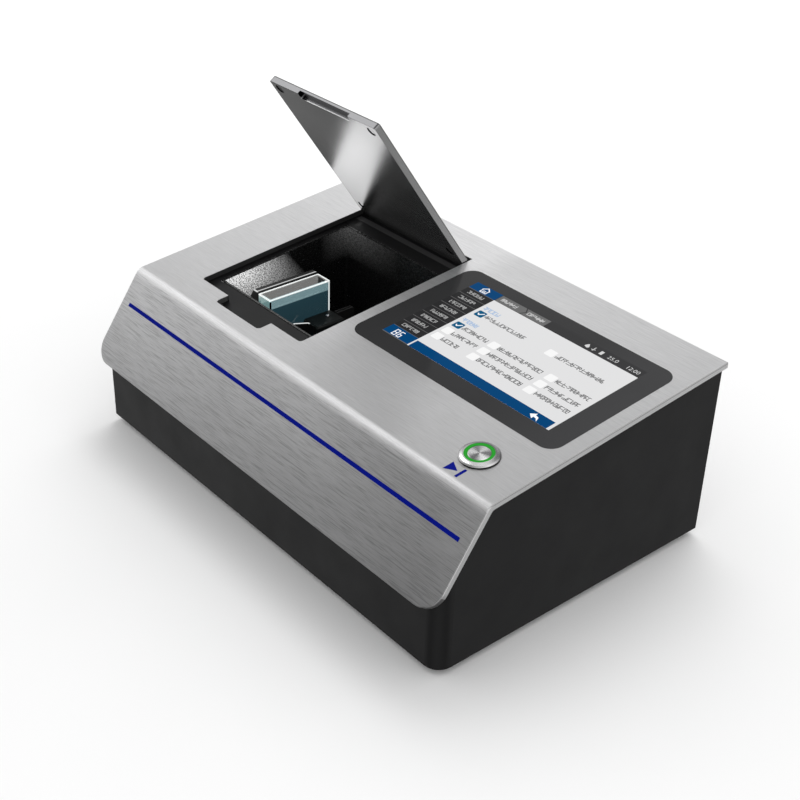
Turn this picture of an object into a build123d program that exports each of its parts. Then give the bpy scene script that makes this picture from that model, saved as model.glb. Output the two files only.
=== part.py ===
from build123d import *
from math import atan2, cos, degrees, hypot, radians, sin, sqrt, tan
import os

# Benchtop colorimeter for liquids: a black base under a bent, brushed steel cover, with a
# touch display, a ring-lit start button and a sample chamber under a friction-held lid.
# Millimetres. X to the right, Y to the rear, Z up. The origin is on the table, under the
# middle of the cover. On the sloping top, "s" is the distance up the slope from the bend
# and "h" is the height above the cover's outer skin.

# ---------------------------------------------------------------- driving dimensions
# Cover: one plate, bent once
cover_width = 367.0
cover_depth = 241.2
front_edge_height = 56.2
bend_setback = 40.5
bend_height = 114.2
rear_height = 135.0
plate = 3.8
bend_radius = 7.0
cover_front_corner = 15.0
cover_rear_corner = 1.2
cover_edge_break = 0.6

# Base
base_side_inset = 4.2
base_front_inset = 10.2
base_rear_inset = 0.0
base_wall = 2.5
base_bend_radius = 11.0
base_seam_radius = 1.0
lip_width = 8.0
lip_thickness = 2.5
bottom_thickness = 2.5
bottom_clearance = 0.3
foot_height = 5.0
foot_radius = 7.5
foot_inset_left = 24.3
foot_inset_right = 12.0
foot_inset_y = 11.4

# Lid opening and lid
opening_width = 114.4
opening_length = 151.7
opening_x = -80.55
opening_front_s = 24.4
opening_front_corner = 2.5
opening_rear_corner = 1.0
notch_width = 50.1
notch_depth = 10.7
notch_corner = 3.0
lid_thickness = 4.9
lid_side_gap = 0.7
lid_front_gap = 0.6
lid_rear_gap = 1.5
lid_corner = 2.0
lid_edge_break = 0.4
lid_open_angle = 60.9
lid_seat_gap = 0.15
hinge_setback = 4.4
hinge_drop = 2.0
hinge_pin_radius = 1.0
running_clearance = 0.05
finger_recess_width = 53.0
finger_recess_depth = 5.0
finger_recess_height = 2.6
magnet_radius = 3.5
magnet_thickness = 1.2
lid_magnet_recess = 0.5
magnet_inset_x = 7.5
front_magnet_inset_s = 6.4
rear_magnet_inset_s = 18.1

# Chamber frame and well
frame_thickness = 5.0
frame_flange = 8.1
frame_right_flange = 3.6
frame_corner = 4.0
ledge_side = 3.5
ledge_front = 13.3
ledge_rear = 24.4
ledge_edge_break = 0.5
liner_wall = 1.5
liner_clearance = 0.15
liner_floor_height = 42.0
liner_floor = 2.0
liner_corner = 2.0

# Display
glass_width = 186.4
glass_length = 110.5
glass_x = 79.2
glass_front_s = 57.6
glass_corner = 17.0
glass_gap = 0.2
glass_recess = 0.3
lcd_width = 165.4
lcd_length = 100.6
lcd_thickness = 6.0
lcd_offset_x = 0.15
lcd_offset_s = 1.95
lcd_gap = 0.8
bracket_thickness = 2.0
bracket_flange_front = 9.0
bracket_flange_rear = 7.0
bracket_flange_left = 4.0

# Start button
button_x = 146.0
button_s = 26.4
button_bezel_radius = 12.5
button_bezel_height = 2.4
button_barrel_radius = 11.0
button_hole_clearance = 0.1
button_depth = 26.0
button_bore_radius = 7.1
ring_outer_radius = 9.25
ring_depth = 3.4
cap_gap = 0.15
button_travel = 1.8
cap_length = 9.0
button_nut_radius = 14.5
button_nut_height = 3.0

# Sample cell, its stand and clamp
cuvette_width = 14.0
cuvette_length = 53.0
cuvette_height = 51.0
cuvette_wall = 2.0
cuvette_floor = 2.5
cuvette_x = -103.5
cuvette_y = -1.5
cuvette_edge_break = 0.5
liquid_drop = 7.0
stand_height = 14.0
cell_clearance = 0.2
jaw_thickness = 10.0
jaw_length = 52.0
jaw_foot_height = 5.0
jaw_rise = 1.0
jaw_edge_break = 0.7
clamp_length = 25.0
clamp_depth = 16.3
clamp_top_drop = 23.5
clamp_travel = 7.0
clamp_pin_radius = 2.0
clamp_pin_spacing = 15.0
clamp_spring_length = 12.0

# Optics
port_radius = 9.0
window_radius = 10.5
window_thickness = 2.0
tube_bore_radius = 10.0
tube_radius = 12.8
tube_length = 29.3
port_flange_radius = 17.0
port_flange_thickness = 2.5
lens_radius = 10.95
lens_edge = 1.6
lens_bulge = 3.0
lamp_size = 34.0
lamp_length = 21.0
sphere_radius = 27.0
sphere_wall = 3.5
sphere_standoff = 2.75
bench_height = 46.0
bench_thickness = 4.0
spectrometer_width = 64.0
spectrometer_depth = 65.0
spectrometer_height = 45.0
spectrometer_wall = 3.0

# Electronics and rear connectors
board_width = 140.0
board_depth = 56.0
board_thickness = 1.6
board_height = 24.0
tray_width = 150.0
tray_height = 40.0
tray_x = 20.0
tray_z = 40.0
tray_depth = 5.5
tray_sheet = 1.5
tray_flange = 6.0
rocker_width = 15.0
rocker_height = 21.0
rocker_x = -35.0
rocker_tilt = 8.0
usb_x = 25.0
jack_x = 65.0

# ---------------------------------------------------------------- derived frames
top_slope = atan2(rear_height - bend_height, cover_depth - bend_setback)
front_slope = atan2(bend_height - front_edge_height, bend_setback)
front_edge_y = -cover_depth / 2 - cover_edge_break * cos(front_slope)
bend_y = front_edge_y + bend_setback
top_length = (cover_depth / 2 - bend_y - plate * sin(top_slope)) / cos(top_slope)

top_plane = Plane(
    origin=(0, bend_y, bend_height),
    x_dir=(1, 0, 0),
    z_dir=(0, -sin(top_slope), cos(top_slope)),
)
front_plane = Plane(
    origin=(0, front_edge_y, front_edge_height),
    x_dir=(1, 0, 0),
    z_dir=(0, -sin(front_slope), cos(front_slope)),
)


def on_top(x, s, h=0.0):
    """The point at x, a distance s up the top and h above its skin."""
    return top_plane.from_local_coords(Vector(x, s, h))


def skin_points(inset):
    """Front edge, bend and rear edge of the cover's section, inset below its outer skin."""
    miter = inset * tan((front_slope - top_slope) / 2)
    corners = (
        front_plane.from_local_coords(Vector(0, 0, -inset)),
        on_top(0, miter, -inset),
        on_top(0, top_length, -inset),
    )
    return [(corner.Y, corner.Z) for corner in corners]


def block(x_span, y_span, z_span, mode=Mode.ADD):
    """A rectangular block between two limits on each axis."""
    with BuildSketch(Plane.XY.offset(z_span[0])) as footprint:
        with Locations((sum(x_span) / 2, sum(y_span) / 2)):
            Rectangle(x_span[1] - x_span[0], y_span[1] - y_span[0])
    extrude(footprint.sketch, amount=z_span[1] - z_span[0], mode=mode)


def rods(plane, centres, radius, length, mode=Mode.ADD):
    """Round rods, or holes, that run the given length from points on a plane."""
    with BuildSketch(plane) as ends:
        with Locations(*centres):
            Circle(radius)
    extrude(ends.sketch, amount=length, mode=mode)


def turned(plane, outline, mode=Mode.ADD):
    """A ring or disc turned about the plane's own X axis, from (x, radius) points."""
    with BuildSketch(plane) as section:
        with BuildLine():
            Polyline(*outline, close=True)
        make_face()
    revolve(section.sketch, axis=Axis(plane.origin, plane.x_dir), mode=mode)


def screw_set(plane, centres, shank, length, head, head_height):
    """Pan-head screws: heads on the near side of the plane, shanks beyond it."""
    rods(plane, centres, shank, length)
    rods(plane, centres, head, -head_height)


def countersinks(plane, centres, shank, head, mode=Mode.ADD):
    """45 degree cones from a screw's head down to its shank, their wide ends on a plane."""
    with Locations(*[plane.location * Location((x, y, 0)) for x, y in centres]):
        Cone(
            head,
            shank,
            head - shank,
            align=(Align.CENTER, Align.CENTER, Align.MIN),
            mode=mode,
        )


def save(piece, name):
    """Labels a finished piece and writes it as one STEP file."""
    piece.part.label = name
    export_step(piece.part, f"parts/{name}.step")


os.makedirs("parts", exist_ok=True)

# ---------------------------------------------------------------- base limits, cover fixings
base_width = cover_width - 2 * base_side_inset
base_front_y = -cover_depth / 2 + base_front_inset
base_rear_y = cover_depth / 2 - base_rear_inset
base_depth = base_rear_y - base_front_y
wall_inner_x = base_width / 2 - base_wall
wall_inner_rear_y = base_rear_y - base_wall
bottom_top_z = foot_height + bottom_thickness

tab_width = 12.0
tab_length = 14.0
tab_thickness = 2.5
stud_radius = 2.0
stud_length = 10.0
nut_radius = 4.2
nut_height = 3.2
tab_inset = 6.5
tab_front_s = 31.0
tab_middle_s = 108.0
tab_rear_s = 186.0
tab_centres = [
    (-wall_inner_x + tab_inset, tab_front_s),
    (-wall_inner_x + tab_inset, tab_middle_s),
    (-wall_inner_x + tab_inset, tab_rear_s),
    (wall_inner_x - tab_inset, tab_front_s),
    (wall_inner_x - tab_inset, tab_rear_s),
]

# ---------------------------------------------------------------- top cover
opening_s = opening_front_s + opening_length / 2
opening_left = opening_x - opening_width / 2
opening_right = opening_x + opening_width / 2
opening_rear_s = opening_front_s + opening_length
glass_s = glass_front_s + glass_length / 2
hinge_s = opening_rear_s - hinge_setback
hinge_pin_grip = 4.0
blind_depth = 1.7

frame_left = opening_left - frame_flange
frame_right = opening_right + frame_right_flange
frame_front_s = opening_front_s - notch_depth - 6.0
frame_rear_s = opening_rear_s + frame_flange
frame_screw_radius = 1.5
frame_screw_centres = [
    (opening_left - frame_flange / 2, opening_front_s + 22),
    (opening_left - frame_flange / 2, opening_s),
    (opening_left - frame_flange / 2, opening_rear_s - 22),
    (opening_left + 14, opening_rear_s + frame_flange / 2),
    (opening_right - 14, opening_rear_s + frame_flange / 2),
    (opening_left + 14, opening_front_s - 6),
    (opening_right - 14, opening_front_s - 6),
]

bracket_left = glass_x - glass_width / 2 - bracket_flange_left
bracket_right = glass_x + glass_width / 2 - 0.1
bracket_front_s = glass_front_s - bracket_flange_front
bracket_rear_s = glass_front_s + glass_length + bracket_flange_rear
bracket_screw_radius = 1.25
bracket_screw_centres = [
    (x, s)
    for x in (glass_x - 80, glass_x, glass_x + 80)
    for s in (
        glass_front_s - bracket_flange_front / 2,
        glass_front_s + glass_length + bracket_flange_rear / 2,
    )
]


underside = top_plane.offset(-plate)


def lid_opening(plane):
    """The lid's opening with its finger notch, drawn on a plane parallel to the top."""
    with BuildSketch(plane) as outline:
        with Locations((opening_x, opening_s)):
            Rectangle(opening_width, opening_length)
        corners = outline.vertices().group_by(Axis.Y)
        fillet(corners[0], opening_front_corner)
        fillet(corners[-1], opening_rear_corner)
        with Locations((opening_x, opening_front_s)):
            RectangleRounded(notch_width, 2 * notch_depth, notch_corner)
    return outline.sketch


with BuildPart() as top_cover:
    outer_skin = skin_points(0)
    inner_skin = skin_points(plate)
    with BuildSketch(Plane.YZ):
        with BuildLine():
            FilletPolyline(*outer_skin, radius=bend_radius)
            FilletPolyline(*inner_skin, radius=bend_radius - plate)
            Line(outer_skin[0], inner_skin[0])
            Line(outer_skin[-1], inner_skin[-1])
        make_face()
    extrude(amount=cover_width / 2, both=True)
    front_corners = top_cover.edges().filter_by(Axis((0, 0, 0), front_plane.z_dir))
    fillet(front_corners, cover_front_corner)
    rear_corners = top_cover.edges().filter_by(Axis((0, 0, 0), top_plane.z_dir))
    rear_corners = rear_corners.group_by(Axis.Y)[-1]
    fillet(rear_corners, cover_rear_corner)

    # The whole outer rim is broken, but not the two lines where the bend begins and ends.
    skin = [
        face
        for face in top_cover.faces()
        if face.normal_at().dot(top_plane.z_dir) > 0.5
    ]
    skin_edges = [edge for face in skin for edge in face.edges()]
    rim = [
        edge
        for edge in skin_edges
        if sum(edge.is_same(other) for other in skin_edges) == 1
    ]
    chamfer(rim, cover_edge_break)

    extrude(lid_opening(top_plane), amount=-2 * plate, mode=Mode.SUBTRACT)
    with BuildSketch(top_plane):
        with Locations((glass_x, glass_s)):
            RectangleRounded(glass_width, glass_length, glass_corner)
        with Locations((button_x, button_s)):
            Circle(button_barrel_radius + button_hole_clearance)
    extrude(amount=-2 * plate, mode=Mode.SUBTRACT)
    rods(underside, frame_screw_centres, frame_screw_radius, blind_depth, Mode.SUBTRACT)
    rods(underside, bracket_screw_centres, bracket_screw_radius, blind_depth, Mode.SUBTRACT)
    # Threaded studs welded under the plate, for the nuts that hold the cover to the base
    rods(underside, tab_centres, stud_radius, -stud_length)
    hinge_plane = Plane(
        origin=on_top(0, hinge_s, -hinge_drop),
        x_dir=top_plane.y_dir,
        z_dir=(1, 0, 0),
    )
    pin_bore_span = opening_width + 2 * hinge_pin_grip
    rods(
        hinge_plane.offset(opening_x - pin_bore_span / 2),
        [(0, 0)],
        hinge_pin_radius,
        pin_bore_span,
        Mode.SUBTRACT,
    )
save(top_cover, "top_cover")

# ---------------------------------------------------------------- base housing
tray_hole_x = (tray_x - tray_width / 2, tray_x + tray_width / 2)
tray_hole_z = (tray_z - tray_height / 2, tray_z + tray_height / 2)
tray_screw_radius = 1.5
tray_screw_head = 2.6
tray_screw_centres = [
    (x, z)
    for x in (tray_hole_x[0] - tray_flange / 2, tray_hole_x[1] + tray_flange / 2)
    for z in (tray_hole_z[0] + 4, tray_hole_z[1] - 4)
]
vent_count = 10
vent_pitch = 8.0
vent_width = 2.4
vent_height = 34.0
vent_first_x = -158.0
vent_z = 66.0

bottom_screw_radius = 1.5
bottom_screw_head = 2.8
bottom_screw_inset = base_wall + lip_width / 2
bottom_screw_centres = [
    (side * (base_width / 2 - bottom_screw_inset), y)
    for side in (-1, 1)
    for y in (-62.0, 4.0, 70.0)
] + [
    (x, y)
    for x in (-105.0, 0.0, 105.0)
    for y in (base_front_y + bottom_screw_inset, base_rear_y - bottom_screw_inset)
]


def base_outline(height, inset=0.0):
    """The base's outline, rounded at the right front, where its wall is bent in one piece."""
    with BuildSketch(Plane.XY.offset(height)) as outline:
        with Locations((0, (base_front_y + base_rear_y) / 2)):
            Rectangle(base_width - 2 * inset, base_depth - 2 * inset)
        corners = outline.vertices().sort_by(Axis((0, 0, 0), (1, -1, 0)))
        fillet(corners[-1], max(base_bend_radius - inset, base_seam_radius))
        fillet(corners[:-1], base_seam_radius)
    return outline.sketch


with BuildPart() as base_housing:
    extrude(base_outline(foot_height), amount=rear_height - foot_height)
    extrude(base_outline(foot_height, base_wall), amount=rear_height, mode=Mode.SUBTRACT)
    extrude(base_outline(bottom_top_z, base_wall), amount=lip_thickness)
    extrude(
        base_outline(bottom_top_z, base_wall + lip_width),
        amount=lip_thickness,
        mode=Mode.SUBTRACT,
    )
    with BuildSketch(top_plane.offset(-plate - tab_thickness)):
        with Locations(*tab_centres):
            Rectangle(tab_width + 1, tab_length)
    extrude(amount=tab_thickness)
    rods(
        top_plane.offset(-plate - 2 * tab_thickness),
        tab_centres,
        stud_radius + 0.2,
        3 * tab_thickness,
        Mode.SUBTRACT,
    )

    # Everything above the cover's underside is cut away, so the rim carries the cover.
    above = rear_height + 60
    with BuildSketch(Plane.YZ):
        with BuildLine():
            FilletPolyline(*inner_skin, radius=bend_radius - plate)
            Polyline(
                inner_skin[-1],
                (inner_skin[-1][0], above),
                (inner_skin[0][0], above),
                inner_skin[0],
            )
        make_face()
    extrude(amount=cover_width / 2, both=True, mode=Mode.SUBTRACT)

    # Rear wall: connector window, its screw holes and the cooling slots
    block(
        tray_hole_x,
        (wall_inner_rear_y - 1, base_rear_y + 1),
        tray_hole_z,
        Mode.SUBTRACT,
    )
    rear_plane = Plane(origin=(0, base_rear_y, 0), x_dir=(1, 0, 0), z_dir=(0, -1, 0))
    rods(rear_plane, tray_screw_centres, tray_screw_radius, base_wall, Mode.SUBTRACT)
    countersinks(
        rear_plane,
        tray_screw_centres,
        tray_screw_radius,
        tray_screw_head,
        Mode.SUBTRACT,
    )
    with BuildSketch(rear_plane):
        for slot in range(vent_count):
            with Locations((vent_first_x + slot * vent_pitch, vent_z)):
                SlotOverall(vent_height, vent_width, rotation=90)
    extrude(amount=base_wall, mode=Mode.SUBTRACT)
    rods(
        Plane.XY.offset(bottom_top_z),
        bottom_screw_centres,
        bottom_screw_radius,
        lip_thickness,
        Mode.SUBTRACT,
    )
save(base_housing, "base_housing")

# ---------------------------------------------------------------- bottom plate and feet
foot_centres = {
    "front_left": (-base_width / 2 + foot_inset_left, base_front_y + foot_inset_y),
    "front_right": (base_width / 2 - foot_inset_right, base_front_y + foot_inset_y),
    "rear_left": (-base_width / 2 + foot_inset_left, base_rear_y - foot_inset_y),
    "rear_right": (base_width / 2 - foot_inset_right, base_rear_y - foot_inset_y),
}
foot_screw_radius = 1.75
foot_screw_head = 3.4
foot_screw_head_height = 2.0
foot_recess_radius = 4.0
foot_recess_depth = 3.0
bench_x = (-24.0, 110.0)
bench_y = (-44.0, 41.0)
pillar_radius = 5.0
pillar_inset = 8.0
bench_pillar_centres = [
    (x, y)
    for x in (bench_x[0] + pillar_inset, bench_x[1] - pillar_inset)
    for y in (bench_y[0] + pillar_inset, bench_y[1] - pillar_inset)
]
vent_row_x = (-150.0, -100.0, 40.0, 90.0)

with BuildPart() as bottom_plate:
    extrude(base_outline(foot_height, base_wall + bottom_clearance), amount=bottom_thickness)
    rods(
        Plane.XY.offset(foot_height),
        list(foot_centres.values()),
        foot_screw_radius,
        bottom_thickness,
        Mode.SUBTRACT,
    )
    countersinks(
        Plane.XY.offset(foot_height),
        bottom_screw_centres,
        bottom_screw_radius,
        bottom_screw_head,
        Mode.SUBTRACT,
    )
    rods(
        Plane.XY.offset(foot_height),
        bottom_screw_centres,
        bottom_screw_radius,
        bottom_thickness,
        Mode.SUBTRACT,
    )
    with BuildSketch(Plane.XY.offset(foot_height)):
        for row_x in vent_row_x:
            with GridLocations(0, 9.0, 1, 5):
                with Locations((row_x, 0)):
                    SlotOverall(36.0, 3.0)
    extrude(amount=bottom_thickness, mode=Mode.SUBTRACT)
save(bottom_plate, "bottom_plate")

for corner, (foot_x, foot_y) in foot_centres.items():
    with BuildPart() as foot:
        turned(
            Plane(origin=(foot_x, foot_y, 0), x_dir=(0, 0, 1), z_dir=(0, -1, 0)),
            [
                (0, foot_recess_radius),
                (foot_recess_depth, foot_recess_radius),
                (foot_recess_depth, foot_screw_radius),
                (foot_height, foot_screw_radius),
                (foot_height, foot_radius),
                (1.0, foot_radius - 0.4),
                (0, foot_radius - 1.4),
            ],
        )
    save(foot, f"foot_{corner}")

with BuildPart() as foot_screws:
    screw_set(
        Plane.XY.offset(foot_recess_depth),
        list(foot_centres.values()),
        foot_screw_radius,
        foot_height - foot_recess_depth + bottom_thickness,
        foot_screw_head,
        foot_screw_head_height,
    )
save(foot_screws, "foot_screws")

with BuildPart() as bottom_screws:
    countersinks(
        Plane.XY.offset(foot_height),
        bottom_screw_centres,
        bottom_screw_radius,
        bottom_screw_head,
    )
    rods(
        Plane.XY.offset(foot_height),
        bottom_screw_centres,
        bottom_screw_radius,
        bottom_thickness + lip_thickness,
    )
save(bottom_screws, "bottom_screws")

with BuildPart() as cover_nuts:
    with BuildSketch(top_plane.offset(-plate - tab_thickness)):
        with Locations(*tab_centres):
            RegularPolygon(nut_radius, 6)
            Circle(stud_radius, mode=Mode.SUBTRACT)
    extrude(amount=-nut_height)
save(cover_nuts, "cover_nuts")

# ---------------------------------------------------------------- chamber frame and well
ledge_depth = lid_thickness + lid_seat_gap
ledge_top = top_plane.offset(-ledge_depth)
frame_bottom = plate + frame_thickness
window_x = (opening_left + ledge_side, opening_right - ledge_side)
window_y = (
    on_top(0, opening_front_s + ledge_front).Y,
    on_top(0, opening_rear_s - ledge_rear).Y,
)
lid_left = opening_left + lid_side_gap
lid_right = opening_right - lid_side_gap
magnet_x = (lid_left + magnet_inset_x, lid_right - magnet_inset_x)
magnet_s = (opening_front_s + front_magnet_inset_s, opening_rear_s - rear_magnet_inset_s)
magnet_centres = [(x, s) for x in magnet_x for s in magnet_s]
lid_swing_radius = hypot(hinge_setback - lid_rear_gap, lid_thickness - hinge_drop)
relief_depth = hinge_drop + lid_swing_radius + 0.4
relief_length = hinge_setback + lid_swing_radius + 0.5

with BuildPart() as chamber_frame:
    with BuildSketch(top_plane.offset(-frame_bottom)):
        with Locations(
            ((frame_left + frame_right) / 2, (frame_front_s + frame_rear_s) / 2)
        ):
            RectangleRounded(
                frame_right - frame_left, frame_rear_s - frame_front_s, frame_corner
            )
    extrude(amount=frame_thickness)
    extrude(lid_opening(ledge_top), amount=frame_thickness, mode=Mode.SUBTRACT)
    with BuildSketch(top_plane.offset(-relief_depth)):
        with Locations((opening_x, opening_rear_s - relief_length / 2)):
            Rectangle(opening_width, relief_length)
    extrude(amount=frame_thickness, mode=Mode.SUBTRACT)
    block(window_x, window_y, (bend_height - 30, rear_height + 10), Mode.SUBTRACT)
    ledge = chamber_frame.faces().filter_by(
        lambda face: abs(ledge_top.to_local_coords(face.center()).Z) < 0.01
    )[0]
    chamfer(ledge.inner_wires()[0].edges(), ledge_edge_break)
    rods(ledge_top, magnet_centres, magnet_radius, -magnet_thickness, Mode.SUBTRACT)
    rods(
        top_plane.offset(-frame_bottom),
        frame_screw_centres,
        frame_screw_radius,
        frame_thickness,
        Mode.SUBTRACT,
    )
save(chamber_frame, "chamber_frame")

with BuildPart() as frame_magnets:
    rods(
        top_plane.offset(-ledge_depth - magnet_thickness),
        magnet_centres,
        magnet_radius,
        magnet_thickness,
    )
save(frame_magnets, "frame_magnets")

with BuildPart() as frame_screws:
    screw_set(
        top_plane.offset(-frame_bottom),
        frame_screw_centres,
        frame_screw_radius,
        frame_thickness + blind_depth,
        2.8,
        2.0,
    )
save(frame_screws, "frame_screws")

optic_y = cuvette_y
cell_seat_z = liner_floor_height + stand_height
cell_top_z = cell_seat_z + cuvette_height
optic_z = cell_seat_z + cuvette_height / 2
optic_plane = Plane(origin=(0, optic_y, optic_z), x_dir=(1, 0, 0), z_dir=(0, -1, 0))
liner_x = (window_x[0] + liner_clearance, window_x[1] - liner_clearance)
liner_y = (window_y[0] + liner_clearance, window_y[1] - liner_clearance)
well_x = (liner_x[0] + liner_wall, liner_x[1] - liner_wall)
well_y = (liner_y[0] + liner_wall, liner_y[1] - liner_wall)
liner_bottom_z = liner_floor_height - liner_floor

with BuildPart() as chamber_liner:
    with BuildSketch(Plane.XY.offset(liner_bottom_z)):
        with Locations((sum(liner_x) / 2, sum(liner_y) / 2)):
            Rectangle(liner_x[1] - liner_x[0], liner_y[1] - liner_y[0])
    extrude(amount=rear_height - liner_bottom_z)
    with BuildSketch(Plane.XY.offset(liner_floor_height)):
        with Locations((sum(well_x) / 2, sum(well_y) / 2)):
            RectangleRounded(well_x[1] - well_x[0], well_y[1] - well_y[0], liner_corner)
    extrude(amount=rear_height, mode=Mode.SUBTRACT)
    split(bisect_by=ledge_top, keep=Keep.BOTTOM)
    rods(
        Plane.YZ.offset(liner_x[0]),
        [(optic_y, optic_z)],
        tube_radius,
        liner_x[1] - liner_x[0],
        Mode.SUBTRACT,
    )
save(chamber_liner, "chamber_liner")

chamber_pillar_centres = [
    (x, y)
    for x in (liner_x[0] + pillar_inset, liner_x[1] - pillar_inset - 4)
    for y in (liner_y[0] + pillar_inset, liner_y[1] - pillar_inset)
]
with BuildPart() as chamber_pillars:
    rods(
        Plane.XY.offset(bottom_top_z),
        chamber_pillar_centres,
        pillar_radius,
        liner_bottom_z - bottom_top_z,
    )
save(chamber_pillars, "chamber_pillars")

# ---------------------------------------------------------------- lid and its hinge
lid_slope = top_slope - radians(lid_open_angle)
lid_plane = Plane(
    origin=on_top(0, hinge_s, -hinge_drop),
    x_dir=(1, 0, 0),
    z_dir=(0, -sin(lid_slope), cos(lid_slope)),
)
lid_width = opening_width - 2 * lid_side_gap
lid_front = -(opening_length - hinge_setback - lid_front_gap)
lid_rear = hinge_setback - lid_rear_gap
lid_length = lid_rear - lid_front
lid_underside = lid_plane.offset(hinge_drop - lid_thickness)
lid_magnet_centres = [(x, s - hinge_s) for x, s in magnet_centres]
pin_in_lid = 5.5

with BuildPart() as lid_panel:
    with BuildSketch(lid_underside):
        with Locations((opening_x, (lid_front + lid_rear) / 2)):
            RectangleRounded(lid_width, lid_length, lid_corner)
    extrude(amount=lid_thickness)
    top_rim = lid_panel.faces().sort_by(Axis(lid_plane.origin, lid_plane.z_dir))[-1].edges()
    chamfer(top_rim, lid_edge_break)
    with BuildSketch(lid_underside):
        with Locations((opening_x + 2, lid_front)):
            RectangleRounded(finger_recess_width, 2 * finger_recess_depth, 1.5)
    extrude(amount=finger_recess_height, mode=Mode.SUBTRACT)
    rods(
        lid_underside,
        lid_magnet_centres,
        magnet_radius,
        magnet_thickness + lid_magnet_recess,
        Mode.SUBTRACT,
    )
    lid_pin_plane = Plane(
        origin=lid_plane.origin, x_dir=lid_plane.y_dir, z_dir=(1, 0, 0)
    )
    for bore_start in (lid_left - 1, lid_right + 1 - pin_in_lid - 1.5):
        rods(
            lid_pin_plane.offset(bore_start),
            [(0, 0)],
            hinge_pin_radius + running_clearance,
            pin_in_lid + 1.5,
            Mode.SUBTRACT,
        )
save(lid_panel, "lid_panel")

with BuildPart() as lid_magnets:
    rods(
        lid_underside.offset(lid_magnet_recess),
        lid_magnet_centres,
        magnet_radius,
        magnet_thickness,
    )
save(lid_magnets, "lid_magnets")

hinge_pin_length = hinge_pin_grip + lid_side_gap + pin_in_lid - 1.0
with BuildPart() as hinge_pins:
    for pin_start in (
        opening_left - hinge_pin_grip,
        opening_right + hinge_pin_grip - hinge_pin_length,
    ):
        rods(hinge_plane.offset(pin_start), [(0, 0)], hinge_pin_radius, hinge_pin_length)
save(hinge_pins, "hinge_pins")

# ---------------------------------------------------------------- display
glass_top = top_plane.offset(-glass_recess)
with BuildPart() as display_glass:
    with BuildSketch(glass_top):
        with Locations((glass_x, glass_s)):
            RectangleRounded(
                glass_width - 2 * glass_gap,
                glass_length - 2 * glass_gap,
                glass_corner - glass_gap,
            )
    extrude(amount=glass_recess - plate)
    chamfer(display_glass.faces().sort_by(Axis.Z)[-1].edges(), 0.3)
save(display_glass, "display_glass")

lcd_centre = (glass_x + lcd_offset_x, glass_s + lcd_offset_s)
with BuildPart() as lcd_module:
    with BuildSketch(underside):
        with Locations(lcd_centre):
            Rectangle(lcd_width, lcd_length)
    extrude(amount=-lcd_thickness)
save(lcd_module, "lcd_module")

with BuildPart() as display_bracket:
    with BuildSketch(underside):
        with Locations(
            ((bracket_left + bracket_right) / 2, (bracket_front_s + bracket_rear_s) / 2)
        ):
            RectangleRounded(
                bracket_right - bracket_left, bracket_rear_s - bracket_front_s, 4.0
            )
        with Locations(lcd_centre):
            Rectangle(lcd_width + 2 * lcd_gap, lcd_length + 2 * lcd_gap, mode=Mode.SUBTRACT)
        with Locations(*bracket_screw_centres):
            Circle(bracket_screw_radius, mode=Mode.SUBTRACT)
    extrude(amount=-bracket_thickness)
save(display_bracket, "display_bracket")

with BuildPart() as display_screws:
    screw_set(
        top_plane.offset(-plate - bracket_thickness),
        bracket_screw_centres,
        bracket_screw_radius,
        bracket_thickness + blind_depth,
        2.4,
        1.5,
    )
save(display_screws, "display_screws")

# ---------------------------------------------------------------- start button
button_plane = Plane(
    origin=on_top(button_x, button_s),
    x_dir=top_plane.z_dir,
    z_dir=(1, 0, 0),
)
ring_inner_radius = button_bore_radius
spring_wire = 0.35
spring_radius = 4.2
spring_turns = 5
spring_length = 8.0
cap_bottom = button_bezel_height - cap_length
pocket_floor = cap_bottom - spring_length - button_travel

with BuildPart() as button_body:
    turned(
        button_plane,
        [
            (0, button_barrel_radius),
            (0, button_bezel_radius),
            (0.9, button_bezel_radius),
            (1.7, button_bezel_radius - 0.8),
            (button_bezel_height, ring_outer_radius + 0.9),
            (button_bezel_height, ring_outer_radius),
            (button_bezel_height - ring_depth, ring_outer_radius),
            (button_bezel_height - ring_depth, button_bore_radius),
            (pocket_floor, button_bore_radius),
            (pocket_floor, 0),
            (-button_depth, 0),
            (-button_depth, button_barrel_radius - 1.6),
            (-button_depth + 7, button_barrel_radius - 1.6),
            (-button_depth + 7, button_barrel_radius),
        ],
    )
save(button_body, "button_body")

with BuildPart() as button_light_ring:
    turned(
        button_plane,
        [
            (button_bezel_height - ring_depth, ring_inner_radius),
            (button_bezel_height - ring_depth, ring_outer_radius),
            (button_bezel_height - 0.1, ring_outer_radius),
            (button_bezel_height - 0.1, ring_inner_radius),
        ],
    )
save(button_light_ring, "button_light_ring")

with BuildPart() as button_cap:
    cap_radius = button_bore_radius - cap_gap
    turned(
        button_plane,
        [
            (cap_bottom, 0),
            (cap_bottom, cap_radius),
            (button_bezel_height - 0.3, cap_radius),
            (button_bezel_height, cap_radius - 0.5),
            (button_bezel_height, 0),
        ],
    )
save(button_cap, "button_cap")

with BuildPart() as button_spring:
    with BuildLine() as coil:
        Helix(
            pitch=(spring_length - 2 * spring_wire) / spring_turns,
            height=spring_length - 2 * spring_wire,
            radius=spring_radius,
            center=button_plane.from_local_coords(
                Vector(cap_bottom - spring_length + spring_wire, 0, 0)
            ),
            direction=top_plane.z_dir,
        )
    with BuildSketch(Plane(origin=coil.edges()[0] @ 0, z_dir=coil.edges()[0] % 0)):
        RegularPolygon(spring_wire, 6)
    sweep(path=coil.edges()[0], is_frenet=True)
save(button_spring, "button_spring")

with BuildPart() as button_nut:
    with BuildSketch(underside):
        with Locations((button_x, button_s)):
            RegularPolygon(button_nut_radius, 6)
            Circle(button_barrel_radius, mode=Mode.SUBTRACT)
    extrude(amount=-button_nut_height)
save(button_nut, "button_nut")

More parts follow.
